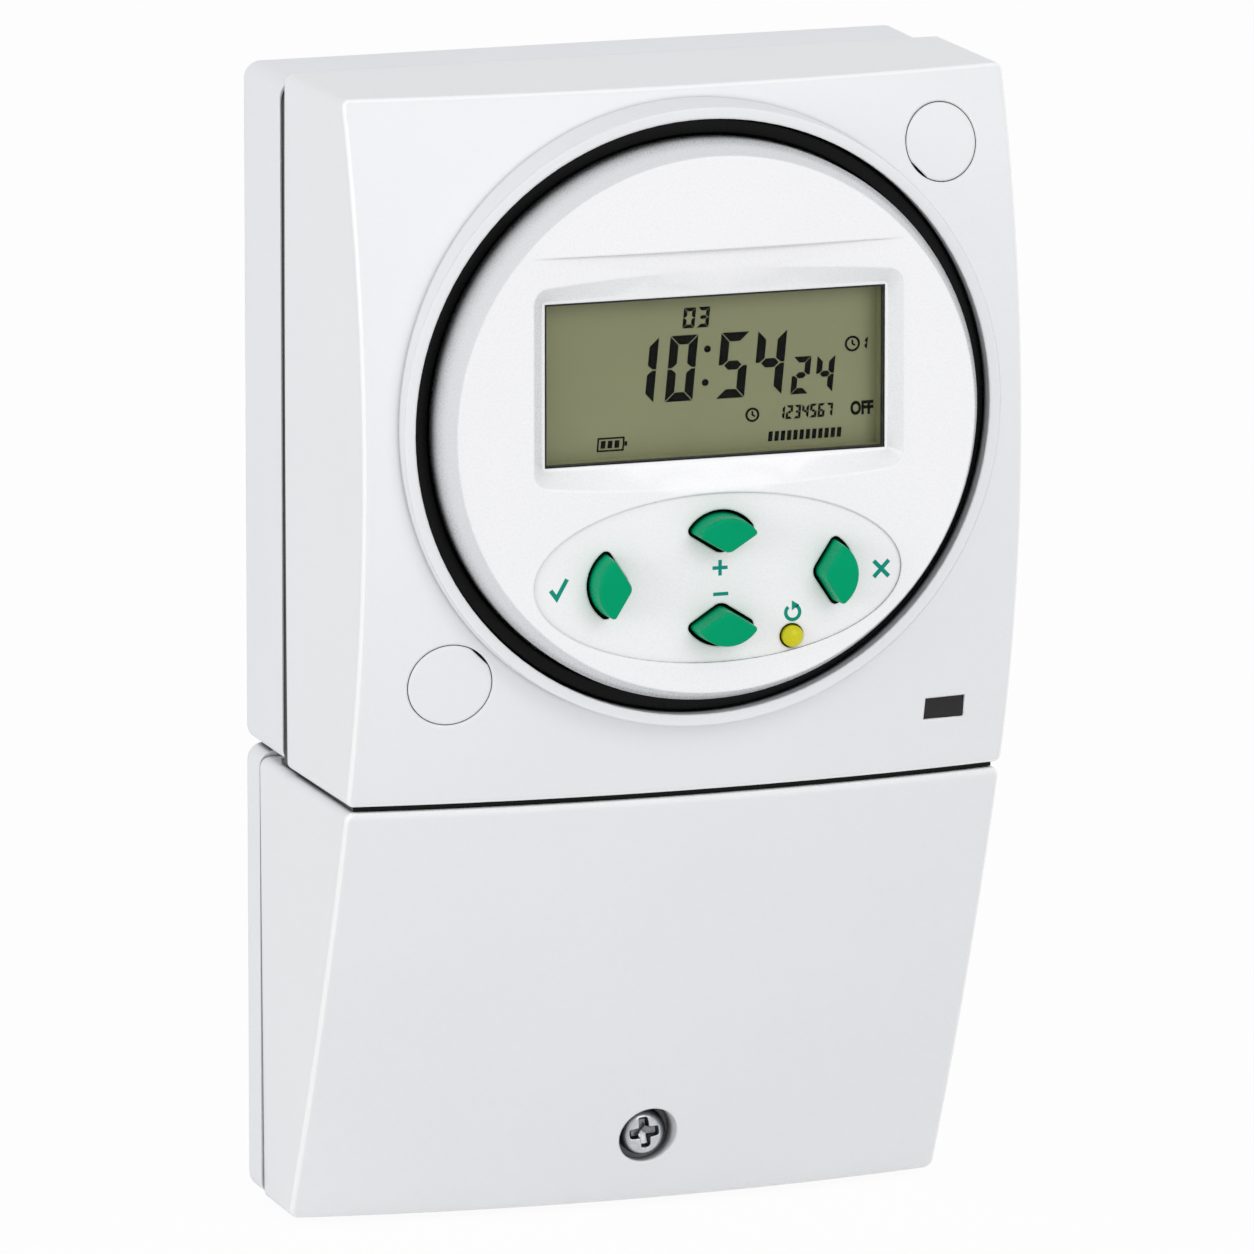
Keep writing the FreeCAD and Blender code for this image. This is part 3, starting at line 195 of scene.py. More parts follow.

# %% [markdown]
# ## Moulded plastic
# Most of the switch is ABS, moulded in a steel tool. The covers' tool was spark-eroded, which
# leaves a fine matt grain; the dial, the keys and the button come from a finer, half-glossy tool.
# All are one kind of finish with other numbers: a colour that drifts a little, a grain that breaks the
# gloss, and a roughness that varies. Some also get a painted highlight on their edges, and painted shade in
# narrow places and on their sides. So one function makes the family and each call names one of its finishes.


# %% The moulded plastics
def moulded(name, code, shade, roughness, grain_mm, depth_mm, drift_mm=22.0, gloss=0.5, edge_mm=0.0,
            edge="FFFFFF", crevice_shade="", reach_mm=1.2, sides="", highlight_fillets=False):
    """Moulded plastic: shade is the darker end of its colour drift, grain and depth are in mm.
    edge_mm rounds the look of sharp edges and paints a highlight on them in the edge colour. crevice
    is painted shade: the colour where the surface sees little open air within reach_mm. sides is
    painted shade: the colour of faces that don't look to the front. With filleted set, the painted
    highlight also goes on the fillets, which face between the front and the sides."""
    made, tree, coords, output = new_material(name)
    tint = blend(tree, noise(tree, coords, drift_mm, 2.0), code, shade)
    grain = noise(tree, coords, grain_mm, 3.0, Roughness=0.62)
    pit_mm, pit_share = 1.7 * grain_mm, 0.55
    pits = add(tree, "ShaderNodeTexVoronoi", {"feature": "SMOOTH_F1"},
               {"Vector": coords, "Scale": 1000.0 / pit_mm, "Smoothness": 0.6})
    bump = bumped(tree, maths(tree, "MULTIPLY_ADD", pits.outputs["Distance"], pit_share, grain), depth_mm)
    normal = tree.nodes.new("ShaderNodeNewGeometry").outputs["Normal"]
    frontal = likeness(tree, normal, (0.0, -1.0, 0.0))
    # Painted shade: faces that don't look to the front take the darker sides colour.
    if sides:
        is_front = ranged(tree, frontal, 0.5, 0.9)
        tint = blend(tree, is_front, sides, tint)
    # Painted highlight: sharp edges, and with filleted set the fillets too, take the lighter edge colour.
    if edge_mm:
        rounded = add(tree, "ShaderNodeBevel", {"samples": 5}, {"Radius": edge_mm / 1000.0}).outputs[0]
        tree.links.new(rounded, bump.inputs["Normal"])
        edge_highlight = ranged(tree, likeness(tree, rounded, normal), 0.93, 0.996, 1.0, 0.0)
        if highlight_fillets:
            past_side = ranged(tree, frontal, 0.12, 0.30)
            before_front = ranged(tree, frontal, 0.78, 0.90, 1.0, 0.0)
            edge_highlight = maths(tree, "MAXIMUM", edge_highlight, maths(tree, "MULTIPLY", past_side, before_front))
        tint = blend(tree, edge_highlight, tint, edge)
    # Painted shade: the colour turns to the crevice colour where little open air is near.
    if crevice_shade:
        is_open = open_air(tree, reach_mm, 0.30, 0.82)
        if sides:
            is_open = maths(tree, "MAXIMUM", is_open, is_front)
        tint = blend(tree, is_open, crevice_shade, tint)
    rough = ranged(tree, grain, 0.3, 0.7, roughness - 0.05, roughness + 0.06)
    finish_with(tree, output, Base_Color=tint, Roughness=rough, Normal=bump.outputs["Normal"],
                Specular_IOR_Level=gloss, IOR=1.53)
    return made


# The real grain is about 0.1 mm. It is drawn three times as coarse, so that the render can show it.
# On the covers and the housing, white is a painted highlight on edges and fillets, and 4A4B4D is painted
# shade in narrow places.
cover_abs = moulded("spark_eroded_white_abs", "F0F1F3", "EDEEF0", 0.42, 0.34, 0.028, edge_mm=0.7,
                    crevice_shade="4A4B4D", highlight_fillets=True)
housing_abs = moulded("spark_eroded_white_abs_housing", "F0F1F4", "ECEDF0", 0.50, 0.34, 0.030, edge_mm=0.7,
                      crevice_shade="4A4B4D", highlight_fillets=True)
# On the dial, white is a painted highlight on edges, 141516 is painted shade near the ring, and E0E1E3 is
# painted shade on faces that don't look to the front.
dial_abs = moulded("fine_moulded_white_abs", "F8F8F9", "F5F5F6", 0.28, 0.30, 0.002, edge_mm=0.5,
                   crevice_shade="141516", reach_mm=5.0, sides="E0E1E3")
# On the keys, 1FB585 is a painted highlight on edges and 003D28 is painted shade in narrow places; on the
# button 6B6600 is painted shade.
key_abs = moulded("moulded_green_abs", "00A270", "009A68", 0.26, 0.28, 0.002, drift_mm=6.0, gloss=0.04,
                  edge_mm=0.3, edge="1FB585", crevice_shade="003D28", reach_mm=1.5)
reset_abs = moulded("moulded_yellow_abs", "DAD400", "CFC800", 0.26, 0.28, 0.002, drift_mm=3.0, gloss=0.3,
                    crevice_shade="6B6600")
frame_abs = moulded("moulded_black_abs", "17181A", "111214", 0.42, 0.30, 0.006)
switch_abs = moulded("moulded_switch_black_pbt", "1D1E20", "151617", 0.38, 0.25, 0.004, drift_mm=4.0)
relay_pbt = moulded("moulded_blue_pbt", "2B5FA8", "27579C", 0.36, 0.40, 0.006)
terminal_pa = moulded("glass_filled_black_polyamide", "2A2B2D", "202123", 0.50, 0.40, 0.014, drift_mm=9.0)
retainer_pa = moulded("natural_polyamide", "E9E5D6", "DFD9C6", 0.40, 0.40, 0.004)
lens_pc = moulded("smoked_polycarbonate", "1F1B1C", "191617", 0.14, 0.60, 0.0008, drift_mm=2.0, gloss=0.3)
lamp_epoxy = moulded("red_diffused_epoxy", "C2281C", "AE2016", 0.18, 0.50, 0.001, drift_mm=1.5)
print("moulded plastics:", len(bpy.data.materials))

# %% [markdown]
# ## Rubber
# The seal round the dial is moulded black rubber. It has hardly any colour of its own, so what the
# eye sees is its satin gloss. Contact strips are layers of carbon and clear silicone, so they are
# striped along their length. The stripes come from a wave texture, whose scale is worked out from
# the stripes' real pitch.

# %% Rubber
# Black rubber for the ring; the same finish also makes the black strips of painted shade in the joints.
rubber_and_painted_shade = moulded("moulded_black_rubber_and_shade", "060708", "040405", 0.30, 0.9, 0.004, drift_mm=8.0,
                      gloss=0.12)

strip_rubber, tree, coords, output = new_material("layered_contact_rubber")
# The real layers are 0.1 mm; 0.5 mm is what the render can show.
layers = stripes(tree, coords, "X", 0.5, 0.4)
finish_with(tree, output, Base_Color=blend(tree, layers, "26272A", "D9C9B8"), Roughness=0.55)
print("rubber ready")

# %% [markdown]
# ## Metals
# The screws are steel with a bright zinc plating, the clamps and the insert are brass, and the
# small can and cell are rolled sheet. A metal's colour lives in its reflections, so the base colour
# is its reflectance and the life comes from roughness: plating has a soft mottle, and turned or
# drawn metal has fine lines one way.


# %% The metals
def metal(name, code, shade, roughness, mottle_mm, depth_mm, stretch=(1.0, 1.0, 1.0), recess="",
          narrow_mm=3.0):
    """Metal whose mottle, stretched along an axis, becomes drawn lines. recess is painted shade: the colour
    in narrow places, which see little open air within narrow_mm."""
    made, tree, coords, output = new_material(name)
    stretched = add(tree, "ShaderNodeMapping", {}, {"Vector": coords, "Scale": stretch}).outputs[0]
    mottle = noise(tree, stretched, mottle_mm, 4.0)
    tint = blend(tree, mottle, code, shade)
    # Painted shade: narrow places take the darker recess colour.
    if recess:
        tint = blend(tree, open_air(tree, narrow_mm, 0.42, 0.86), recess, tint)
    rough = ranged(tree, mottle, 0.3, 0.7, roughness - 0.06, roughness + 0.08)
    bump = bumped(tree, mottle, depth_mm)
    finish_with(tree, output, Base_Color=tint, Metallic=1.0, Roughness=rough, Normal=bump.outputs["Normal"])
    return made


# On the plated steel, 24262A is painted shade in the screws' recesses.
zinc_steel = metal("bright_zinc_plated_steel", "D2D4D6", "B4B8BC", 0.20, 0.8, 0.006, recess="24262A")
brass = metal("nickel_plated_brass", "D9C58E", "C4AC6E", 0.26, 0.6, 0.004, (1.0, 6.0, 1.0))
drawn_aluminium = metal("drawn_aluminium", "D5D7DA", "BDC0C4", 0.28, 0.9, 0.005, (5.0, 0.4, 5.0))
cell_steel = metal("nickel_plated_cell_steel", "CFCFCB", "B9B9B4", 0.22, 0.7, 0.003)
solder = metal("bright_solder", "C9CBCE", "A9ACB1", 0.24, 0.4, 0.006)
print("metals ready")

# %% [markdown]
# ## Boards and the transformer
# A circuit board is glass-fibre sheet under green lacquer. Copper tracks show through the lacquer
# as lighter lines. A brick texture draws such straight lines with square corners, and a fine weave
# lies beneath them. The transformer's core is a stack of varnished steel sheets, so it is striped;
# its coil is wrapped in yellow tape. One material serves both, because the height above the core's
# edge tells which one it is.

# %% The boards and the transformer
board_laminate, tree, coords, output = new_material("lacquered_glass_fibre_board")
track_pitch, track_length, track_wide = 0.0026, 0.0093, 0.0003             # in metres
between_tracks, on_track = (0.0, 0.0, 0.0, 1.0), (1.0, 1.0, 1.0, 1.0)
flat = add(tree, "ShaderNodeMapping", {}, {"Vector": coords, "Rotation": (math.pi / 2, 0.0, 0.0)})
tracks = add(tree, "ShaderNodeTexBrick", {"offset": 0.37, "squash": 0.6, "squash_frequency": 3},
             {"Vector": flat.outputs[0], "Scale": 1.0, "Brick Width": track_length,
              "Row Height": track_pitch, "Mortar Size": track_wide, "Mortar Smooth": 0.1,
              "Color1": between_tracks, "Color2": between_tracks, "Mortar": on_track}).outputs["Fac"]
lacquer = blend(tree, noise(tree, coords, 0.5, 2.0), "0E5A38", "0B4E30")
bump = bumped(tree, tracks, 0.04)
finish_with(tree, output, Base_Color=blend(tree, tracks, lacquer, "2E8A55"), Roughness=0.28,
            Normal=bump.outputs["Normal"])

varnished_core, tree, coords, output = new_material("varnished_core_and_taped_coil")
place = add(tree, "ShaderNodeSeparateXYZ", {}, {"Vector": coords})
low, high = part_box("transformer")
coil_over, clear_of_core = 0.0024, 0.00005                                 # in metres
middle, reach = (low.z + high.z) / 2, (high.z - low.z) / 2 - coil_over
height = maths(tree, "ABSOLUTE", maths(tree, "SUBTRACT", place.outputs["Z"], middle))
is_coil = maths(tree, "GREATER_THAN", height, reach + clear_of_core)
# Real sheets are 0.5 mm thick and are drawn at 1 mm.
sheets = stripes(tree, coords, "Y", 1.0, 0.6)
core_tint = blend(tree, sheets, "3B3531", "6A625B")
coil_tint = blend(tree, noise(tree, coords, 3.0, 3.0), "D8B24A", "C79E36")
bump = bumped(tree, sheets, 0.06)
finish_with(tree, output, Base_Color=blend(tree, is_coil, core_tint, coil_tint), Roughness=0.42,
            Normal=bump.outputs["Normal"])
print("boards and transformer ready")

# %% [markdown]
# ## The display's glass
# A reflective display is a cell of liquid between two sheets of glass, behind a polarising film.
# The film gives its grey-green colour, and the reflector behind gives a very fine sparkle. The
# window in front is clear acrylic. It only has to let the view through and add a faint reflection,
# so it is drawn as a mix of a transparent and a glossy shader, weighed by Fresnel. That renders
# fast and casts no dark shadow.

# %% Display cell, segments and window
display_cell, tree, coords, output = new_material("polarised_display_cell")
film = blend(tree, noise(tree, coords, 16.0, 1.0), "949672", "8D8F6B")
# The reflector's sparkle is really about 0.05 mm and is drawn at 0.3 mm.
sparkle = ranged(tree, noise(tree, coords, 0.3, 2.0), 0.3, 0.7, 0.94, 1.06)
cell_tint = add(tree, "ShaderNodeVectorMath", {"operation": "SCALE"}, {0: film, "Scale": sparkle})
finish_with(tree, output, Base_Color=cell_tint.outputs[0], Roughness=0.35, Specular_IOR_Level=0.3)

segment_dark = moulded("energised_display_segment", "060806", "0A0C09", 0.50, 0.3, 0.001, drift_mm=5.0,
                       gloss=0.03)

clear_acrylic, tree, coords, output = new_material("clear_cast_acrylic")
bump = bumped(tree, noise(tree, coords, 30.0, 0.0), 0.1, 0.4).outputs["Normal"]
clear = add(tree, "ShaderNodeBsdfTransparent", {}, {"Color": (0.985, 0.99, 0.985, 1.0)}).outputs[0]
sheen = add(tree, "ShaderNodeBsdfGlossy", {}, {"Color": (1.0, 1.0, 1.0, 1.0), "Roughness": 0.03,
                                               "Normal": bump}).outputs[0]
share = add(tree, "ShaderNodeFresnel", {}, {"IOR": 1.12, "Normal": bump}).outputs[0]
window_mix = add(tree, "ShaderNodeMixShader", {}, {0: share, 1: clear, 2: sheen})
tree.links.new(window_mix.outputs[0], output.inputs["Surface"])

legend_ink = moulded("teal_pad_print", "0A9680", "088D78", 0.45, 0.4, 0.002, drift_mm=2.0, gloss=0.08)
number_ink = moulded("white_pad_print", "DDDDDA", "D2D2CE", 0.50, 0.4, 0.004, drift_mm=2.0)
print("display materials ready")

# %% [markdown]
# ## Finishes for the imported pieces
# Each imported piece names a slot, and each slot gets one finish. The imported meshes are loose
# triangles, so light would show every one of them on a curved face. The pieces that are seen are
# therefore copied, their points merged, and their faces shaded round between sharp edges. A
# weighted normal modifier keeps the large flat faces flat where they run into a small rounded edge,
# as on a real moulding.

# %% Finishes by slot
finish_of = {
    "housing_white": housing_abs, "cover_white": cover_abs, "dial_white": dial_abs,
    "ring_black": rubber_and_painted_shade, "pane_clear": clear_acrylic, "display_cell": display_cell,
    "frame_black": frame_abs, "strip_rubber": strip_rubber, "board_green": board_laminate,
    "core_dark": varnished_core,
    "relay_blue": relay_pbt, "can_aluminium": drawn_aluminium, "cell_steel": cell_steel,
    "lamp_red": lamp_epoxy, "lens_dark": lens_pc, "terminal_black": terminal_pa, "screw_steel": zinc_steel,
    "retainer_nylon": retainer_pa, "insert_brass": brass, "clamp_brass": brass, "reset_yellow": reset_abs,
    "key_green": key_abs, "switch_black": switch_abs}
for name, shown in nodes.items():
    shown.data.materials.clear()
    shown.data.materials.append(finish_of[slot_of[name]])
print(len(set(slot_of.values())), "slots in use")


# %% Smooth copies of the pieces that are seen
def place_piece(name, mesh, body, finish, stands_for=()):
    """Links a finished mesh, sets it on the body it rides on, and hides the nodes it stands for."""
    mesh.name = name
    mesh.materials.clear()
    mesh.materials.append(finish)
    made = linked(name, mesh)
    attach(made, body)
    if stands_for:
        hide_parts(*stands_for)
    return made


def applied(shown, name):
    """The evaluated mesh of an object, with its modifiers in it, after which the object is removed."""
    bpy.context.view_layer.update()
    graph = bpy.context.evaluated_depsgraph_get()
    mesh = bpy.data.meshes.new_from_object(shown.evaluated_get(graph), preserve_all_data_layers=True,
                                           depsgraph=graph)
    mesh.name = name
    bpy.data.objects.remove(shown)
    return mesh


def rounded_shading(mesh, sharp_degrees):
    """Merges points, sets sharp edges by their angle and weighs the normals by area."""
    shape = bmesh.new()
    shape.from_mesh(mesh)
    bmesh.ops.remove_doubles(shape, verts=shape.verts, dist=2e-6)
    for edge in shape.edges:
        edge.smooth = len(edge.link_faces) == 2 and edge.calc_face_angle(0.0) < math.radians(sharp_degrees)
    for face in shape.faces:
        face.smooth = True
    shape.to_mesh(mesh)
    shape.free()
    carrier = linked("carrier", mesh)
    weighing = carrier.modifiers.new("weigh", "WEIGHTED_NORMAL")
    weighing.mode, weighing.weight, weighing.keep_sharp = "FACE_AREA", 50, True
    return applied(carrier, mesh.name)


def centre_mm(low, high):
    """The middle of a box seen from the front, as x and z in mm."""
    return 500 * (low.x + high.x), 500 * (low.z + high.z)


smooth_nodes = ["rear_housing", "backplate", "front_cover", "terminal_cover", "dial_face", "cap_upper",
                "cap_lower", "key_up", "key_down", "key_left", "key_right", "reset_button",
                "indicator_lens"]
sharp_from = 30.0                  # degrees between two faces
cap_growth = 0.00016               # the caps fit their recesses this much closer, in metres all round
for name in smooth_nodes:
    mesh = rounded_shading(nodes[name].data.copy(), sharp_from)
    if name.startswith("cap_"):
        low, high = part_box(name)
        middle, wider = (low + high) / 2, 1.0 + 2.0 * cap_growth / (high.x - low.x)
        for vertex in mesh.vertices:
            vertex.co.x = middle.x + (vertex.co.x - middle.x) * wider
            vertex.co.z = middle.z + (vertex.co.z - middle.z) * wider
    place_piece(name + "_moulding", mesh, body_of[name], finish_of[slot_of[name]], (name,))
print("smooth copies:", len(smooth_nodes))

# %% [markdown]
# ## The seal ring
# The black ring fills the groove between the dial and the raised rim. Its shape follows one rule: a
# rounded section that runs round a circle. Geometry Nodes can say just that. A small rounded
# rectangle is swept along a circle, so the ring stays perfectly round however closely one looks,
# and its sizes stay named inputs.


# %% Node trees for what repeats or follows a path
def new_tree(name, inputs):
    """A geometry node tree with one geometry output and the named inputs, given as name: (kind, value)."""
    tree = bpy.data.node_groups.new(name, "GeometryNodeTree")
    tree.interface.new_socket("Geometry", in_out="INPUT", socket_type="NodeSocketGeometry")
    for label, (kind, value) in inputs.items():
        socket = tree.interface.new_socket(label, in_out="INPUT", socket_type="NodeSocket" + kind)
        if value is not None:
            socket.default_value = value
    tree.interface.new_socket("Geometry", in_out="OUTPUT", socket_type="NodeSocketGeometry")
    return tree, tree.nodes.new("NodeGroupInput").outputs, tree.nodes.new("NodeGroupOutput").inputs


def grown(name, tree, values, start=None):
    """Runs a node tree on a start mesh with these input values, and gives back the plain mesh."""
    carrier = linked(name + "_carrier", start or bpy.data.meshes.new(name + "_start"))
    growing = carrier.modifiers.new("grow", "NODES")
    growing.node_group = tree
    for item in tree.interface.items_tree:
        if item.in_out == "INPUT" and item.name in values:
            growing[item.identifier] = values[item.name]
    return applied(carrier, name)


def step(tree, kind, inputs, **settings):
    """Adds a geometry node and gives back its first output."""
    return add(tree, "GeometryNode" + kind, settings, inputs).outputs[0]


def end_tree(tree, geometry, finish, result):
    """Gives the geometry its finish and sends it out of the tree."""
    painted = step(tree, "SetMaterial", {"Geometry": geometry, "Material": finish})
    tree.links.new(painted, result["Geometry"])


def facing_front(mesh, x, z, depth):
    """Turns a mesh drawn on the floor so that it faces the front, and moves it to its place in mm."""
    for vertex in mesh.vertices:
        u, v, w = vertex.co
        vertex.co = (u + x / 1000, -(w + depth / 1000), v + z / 1000)
    return mesh


sweep, given, result = new_tree("ring_with_rounded_section", {
    "Radius": ("Float", 0.05), "Width": ("Float", 0.002), "Height": ("Float", 0.002),
    "Rounding": ("Float", 0.0004), "Segments": ("Int", 96), "Finish": ("Material", None)})
circle = step(sweep, "CurvePrimitiveCircle", {"Resolution": given["Segments"], "Radius": given["Radius"]})
upright = step(sweep, "SetCurveNormal", {"Curve": circle}, mode="Z_UP")
section = step(sweep, "CurvePrimitiveQuadrilateral", {"Width": given["Width"], "Height": given["Height"]})
soft = step(sweep, "FilletCurve", {"Curve": section, "Count": 6, "Radius": given["Rounding"]}, mode="POLY")
skin = step(sweep, "CurveToMesh", {"Curve": upright, "Profile Curve": soft})
smooth = step(sweep, "SetShadeSmooth", {"Geometry": skin})
end_tree(sweep, step(sweep, "RealizeInstances", {"Geometry": smooth}), given["Finish"], result)

low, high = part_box("seal_ring")
outer_radius, ring_height = 500 * (high.x - low.x), 1000 * (high.y - low.y)
ring_width, ring_rounding = 2.55, 0.45
ring_mesh = grown("seal_ring_rubber", sweep, {
    "Radius": (outer_radius - ring_width / 2) / 1000, "Width": ring_width / 1000,
    "Height": ring_height / 1000, "Rounding": ring_rounding / 1000, "Segments": 240,
    "Finish": rubber_and_painted_shade})
facing_front(ring_mesh, *centre_mm(low, high), -500 * (low.y + high.y))
place_piece("seal_ring_rubber", ring_mesh, "base", rubber_and_painted_shade, ("seal_ring",))
print("seal ring: radius", round(outer_radius, 2), "faces", len(ring_mesh.polygons))

# %% [markdown]
# ## Flat printed shapes
# Ink and display segments are flat shapes with a hair of thickness. Each is drawn as an outline
# seen from the front, in millimetres, and given that thickness as a closed prism. A line of ink is
# an outline too: its points are moved to both sides by half the stroke, and mitred where the line
# bends.


# %% Prisms from outlines
def closed_mesh(shape, name):
    """Turns the faces of a closed shape outwards and makes a mesh of it."""
    bmesh.ops.recalc_face_normals(shape, faces=shape.faces)
    mesh = bpy.data.meshes.new(name)
    shape.to_mesh(mesh)
    shape.free()
    return mesh


def prism(outlines, back, front):
    """Closed flat solids between two depths, from outlines of (x, z) points in mm seen from the front."""
    shape = bmesh.new()
    for points in outlines:
        rear = [shape.verts.new((x / 1000, -back / 1000, z / 1000)) for x, z in points]
        face = [shape.verts.new((x / 1000, -front / 1000, z / 1000)) for x, z in points]
        shape.faces.new(face)
        shape.faces.new(rear[::-1])
        for n in range(len(points)):
            m = (n + 1) % len(points)
            shape.faces.new((rear[n], rear[m], face[m], face[n]))
    return closed_mesh(shape, "prism")


def stroke(points, width, closed=False):
    """The outlines of a line of even width: one quadrilateral for each run, mitred at the bends."""
    count, sharpest_mitre = len(points), 0.35
    sides = []
    for n, (x, z) in enumerate(points):
        before = points[n - 1] if n or closed else None
        after = points[(n + 1) % count] if n + 1 < count or closed else None
        steps = []
        if before:
            steps.append(Vector((x - before[0], z - before[1])).normalized())
        if after:
            steps.append(Vector((after[0] - x, after[1] - z)).normalized())
        along = sum(steps, Vector((0.0, 0.0))).normalized()
        reach = width / 2 / max(sharpest_mitre, along.dot(steps[0]))
        across = Vector((-along.y, along.x)) * reach
        sides.append(((x + across.x, z + across.y), (x - across.x, z - across.y)))
    runs = range(count if closed else count - 1)
    return [[sides[n][0], sides[n][1], sides[(n + 1) % count][1], sides[(n + 1) % count][0]] for n in runs]


def arc(x, z, radius, start, end, steps):
    """Points on an arc, with angles in degrees counted from the right."""
    turns = [math.radians(start + (end - start) * n / steps) for n in range(steps + 1)]
    return [(x + radius * math.cos(a), z + radius * math.sin(a)) for a in turns]


print("outline helpers ready")

# %% [markdown]
# ## The legends on the key panel
# The panel carries a plus and a minus between the upper and lower keys, a tick for yes, a cross for
# no, and a round arrow above the reset button. They are pad-printed in a teal that is a little
# bluer than the keys.

# %% Legends
panel = 67.7                                                   # depth of the sunk oval panel in mm
ink_root, ink_top = panel - 0.01, panel + 0.03                 # the print's back and front
sign_stroke = 0.54                                             # width of the lines of plus and minus


def bar(x, z, wide, tall):
    """An upright rectangle round its middle point."""
    return [(x - wide / 2, z - tall / 2), (x + wide / 2, z - tall / 2), (x + wide / 2, z + tall / 2),
            (x - wide / 2, z + tall / 2)]


tick, tick_stroke = [(-26.1, 17.5), (-25.15, 16.2), (-23.5, 19.1)], 0.66
cross_lines, cross_stroke = ([(25.5, 16.25), (27.9, 18.75)], [(25.5, 18.75), (26.47, 17.74)],
                             [(26.93, 17.26), (27.9, 16.25)]), 0.64
arrow_x, arrow_z, arrow_radius = 12.5, 11.65, 1.12
arrow_tip = [(12.35, 13.50), (12.35, 11.95), (13.55, 12.75)]
ink = [bar(0.86, 19.3, 2.4, sign_stroke), bar(0.86, 20.035, sign_stroke, 0.93),
       bar(0.86, 18.565, sign_stroke, 0.93), bar(0.97, 15.25, 2.4, sign_stroke)]
ink += stroke(tick, tick_stroke)
for line in cross_lines:
    ink += stroke(line, cross_stroke)
ink += stroke(arc(arrow_x, arrow_z, arrow_radius, 60.0, -230.0, 22), sign_stroke)
ink.append(arrow_tip)
place_piece("key_legends", prism(ink, ink_root, ink_top), "base", legend_ink)
print("legends:", len(ink), "shapes")

# %% [markdown]
# ## The display's figures
# A time display makes each figure from seven segments, and all of them lean to the right. One
# function knows the seven outlines for a given height, width and stroke, with a thin gap where two
# segments meet. Each figure is then the list of segments that are dark. The same figures, drawn
# smaller, give the seconds, the day's number, the row of the seven weekdays and the number of the
# programme.


# %% Seven-segment figures
def segments(height, width, stroke_width, gap):
    """The outlines of the seven segments a to g, in mm, with the lower left corner at zero."""
    s, t, mid, cut_in = stroke_width, stroke_width / 2, height / 2, gap / 2
    upper = [(0.0, height - cut_in), (0.0, mid + cut_in), (t * 0.9, mid + cut_in),
             (s, mid + t + cut_in * 0.6), (s, height - s - cut_in)]
    across = [(cut_in, height), (width - cut_in, height), (width - s - cut_in, height - s),
              (s + cut_in, height - s)]
    start, end = s + gap * 0.9, width - s - gap * 0.9
    middle = [(t + gap, mid), (start, mid + t), (end, mid + t), (width - t - gap, mid), (end, mid - t),
              (start, mid - t)]
    over = [(x, height - z) for x, z in upper]
    return {"f": upper, "e": over, "b": [(width - x, z) for x, z in upper],
            "c": [(width - x, z) for x, z in over], "a": across,
            "d": [(x, height - z) for x, z in across], "g": middle}


dark_in = {"0": "abcdef", "1": "bc", "2": "abged", "3": "abgcd", "4": "fgbc", "5": "afgcd",
           "6": "afgedc", "7": "abc"}
lean = math.tan(math.radians(5.5))


def figure(sign, x, z, height, width, stroke_width, gap):
    """The dark segments of one figure at its place, leaned to the right."""
    drawn = segments(height, width, stroke_width, gap)
    return [[(x + u + v * lean, z + v) for u, v in drawn[letter]] for letter in dark_in[sign]]


glass = 62.7                                                   # depth of the display cell's front in mm
on_glass, mark_top = glass + 0.02, glass + 0.04                # just before it, and the marks' front
# A row is its figures with their left edges and widths, then their foot, height, stroke and gap in mm.
figure_rows = (
    ((("1", -12.5, 4.35), ("0", -6.31, 4.4), ("5", 1.8, 4.55), ("4", 7.7, 4.6)), 44.3, 10.1, 1.38, 0.2),
    ((("2", 13.75, 2.85), ("4", 17.6, 2.85)), 44.25, 5.75, 0.92, 0.14),
    ((("0", -3.5, 1.9), ("3", -1.25, 1.9)), 55.45, 3.15, 0.56, 0.1),
    ([(sign, 11.7 + 1.28 * n, 1.08) for n, sign in enumerate("1234567")], 40.5, 2.1, 0.38, 0.05),
    ((("1", 25.0, 1.02),), 50.5, 2.0, 0.42, 0.06))
dark = []
for row, foot, tall, stroke_width, gap in figure_rows:
    for sign, x, wide in row:
        dark += figure(sign, x, foot, tall, wide, stroke_width, gap)
colon_dot, colon_places = 0.54, ((0.51, 52.07), (0.16, 46.94))
dark += [arc(x, z, colon_dot, 0.0, 345.0, 23) for x, z in colon_places]
place_piece("display_figures", prism(dark, glass, mark_top), "base", segment_dark)
print("display figures:", len(dark), "shapes")

# %% [markdown]
# ## Painted shade round the window
# A thin black frame round the window is painted shade: from one side it is the fine dark line on the
# far edge, where the window's edge lies in shadow. Behind it runs a second frame in the display's own
# colour, so that the clear edge doesn't mirror the figures. Each is four thin bars whose ends are
# mitred like a picture frame, drawn as one stroke that runs round a rectangle.

# %% Painted shade frame round the window
low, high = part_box("lcd_window")
opening_wide, opening_tall, bar_inset = 54.2, 25.1, 0.24       # the inset is to the bars' middle, in mm
shade_frame_wide, shade_frame_back, shade_frame_front = 0.14, 64.85, 65.78
shade_frame = stroke(bar(*centre_mm(low, high), opening_wide - 2 * bar_inset, opening_tall - 2 * bar_inset),
                shade_frame_wide, closed=True)
# The black frame is painted shade along the window's edge.
place_piece("window_shade_frame", prism(shade_frame, shade_frame_back, shade_frame_front), "base", frame_abs)
place_piece("display_surround", prism(shade_frame, on_glass, shade_frame_back), "base",
            display_cell)
print("window front at", round(-1000 * low.y, 2), "gasket bars", len(shade_frame))

# %% [markdown]
# ## Rows of display marks
# Under the figures a time display has a row of small blocks, one for every two hours of the day,
# and a sign for the backup cell with its charge. A row is one mark repeated at an even step, which
# is what Geometry Nodes do best: a line of points, a mark on each point, and one shear that leans
# them all. Count, step and size are the tree's inputs, so both rows share one tree.

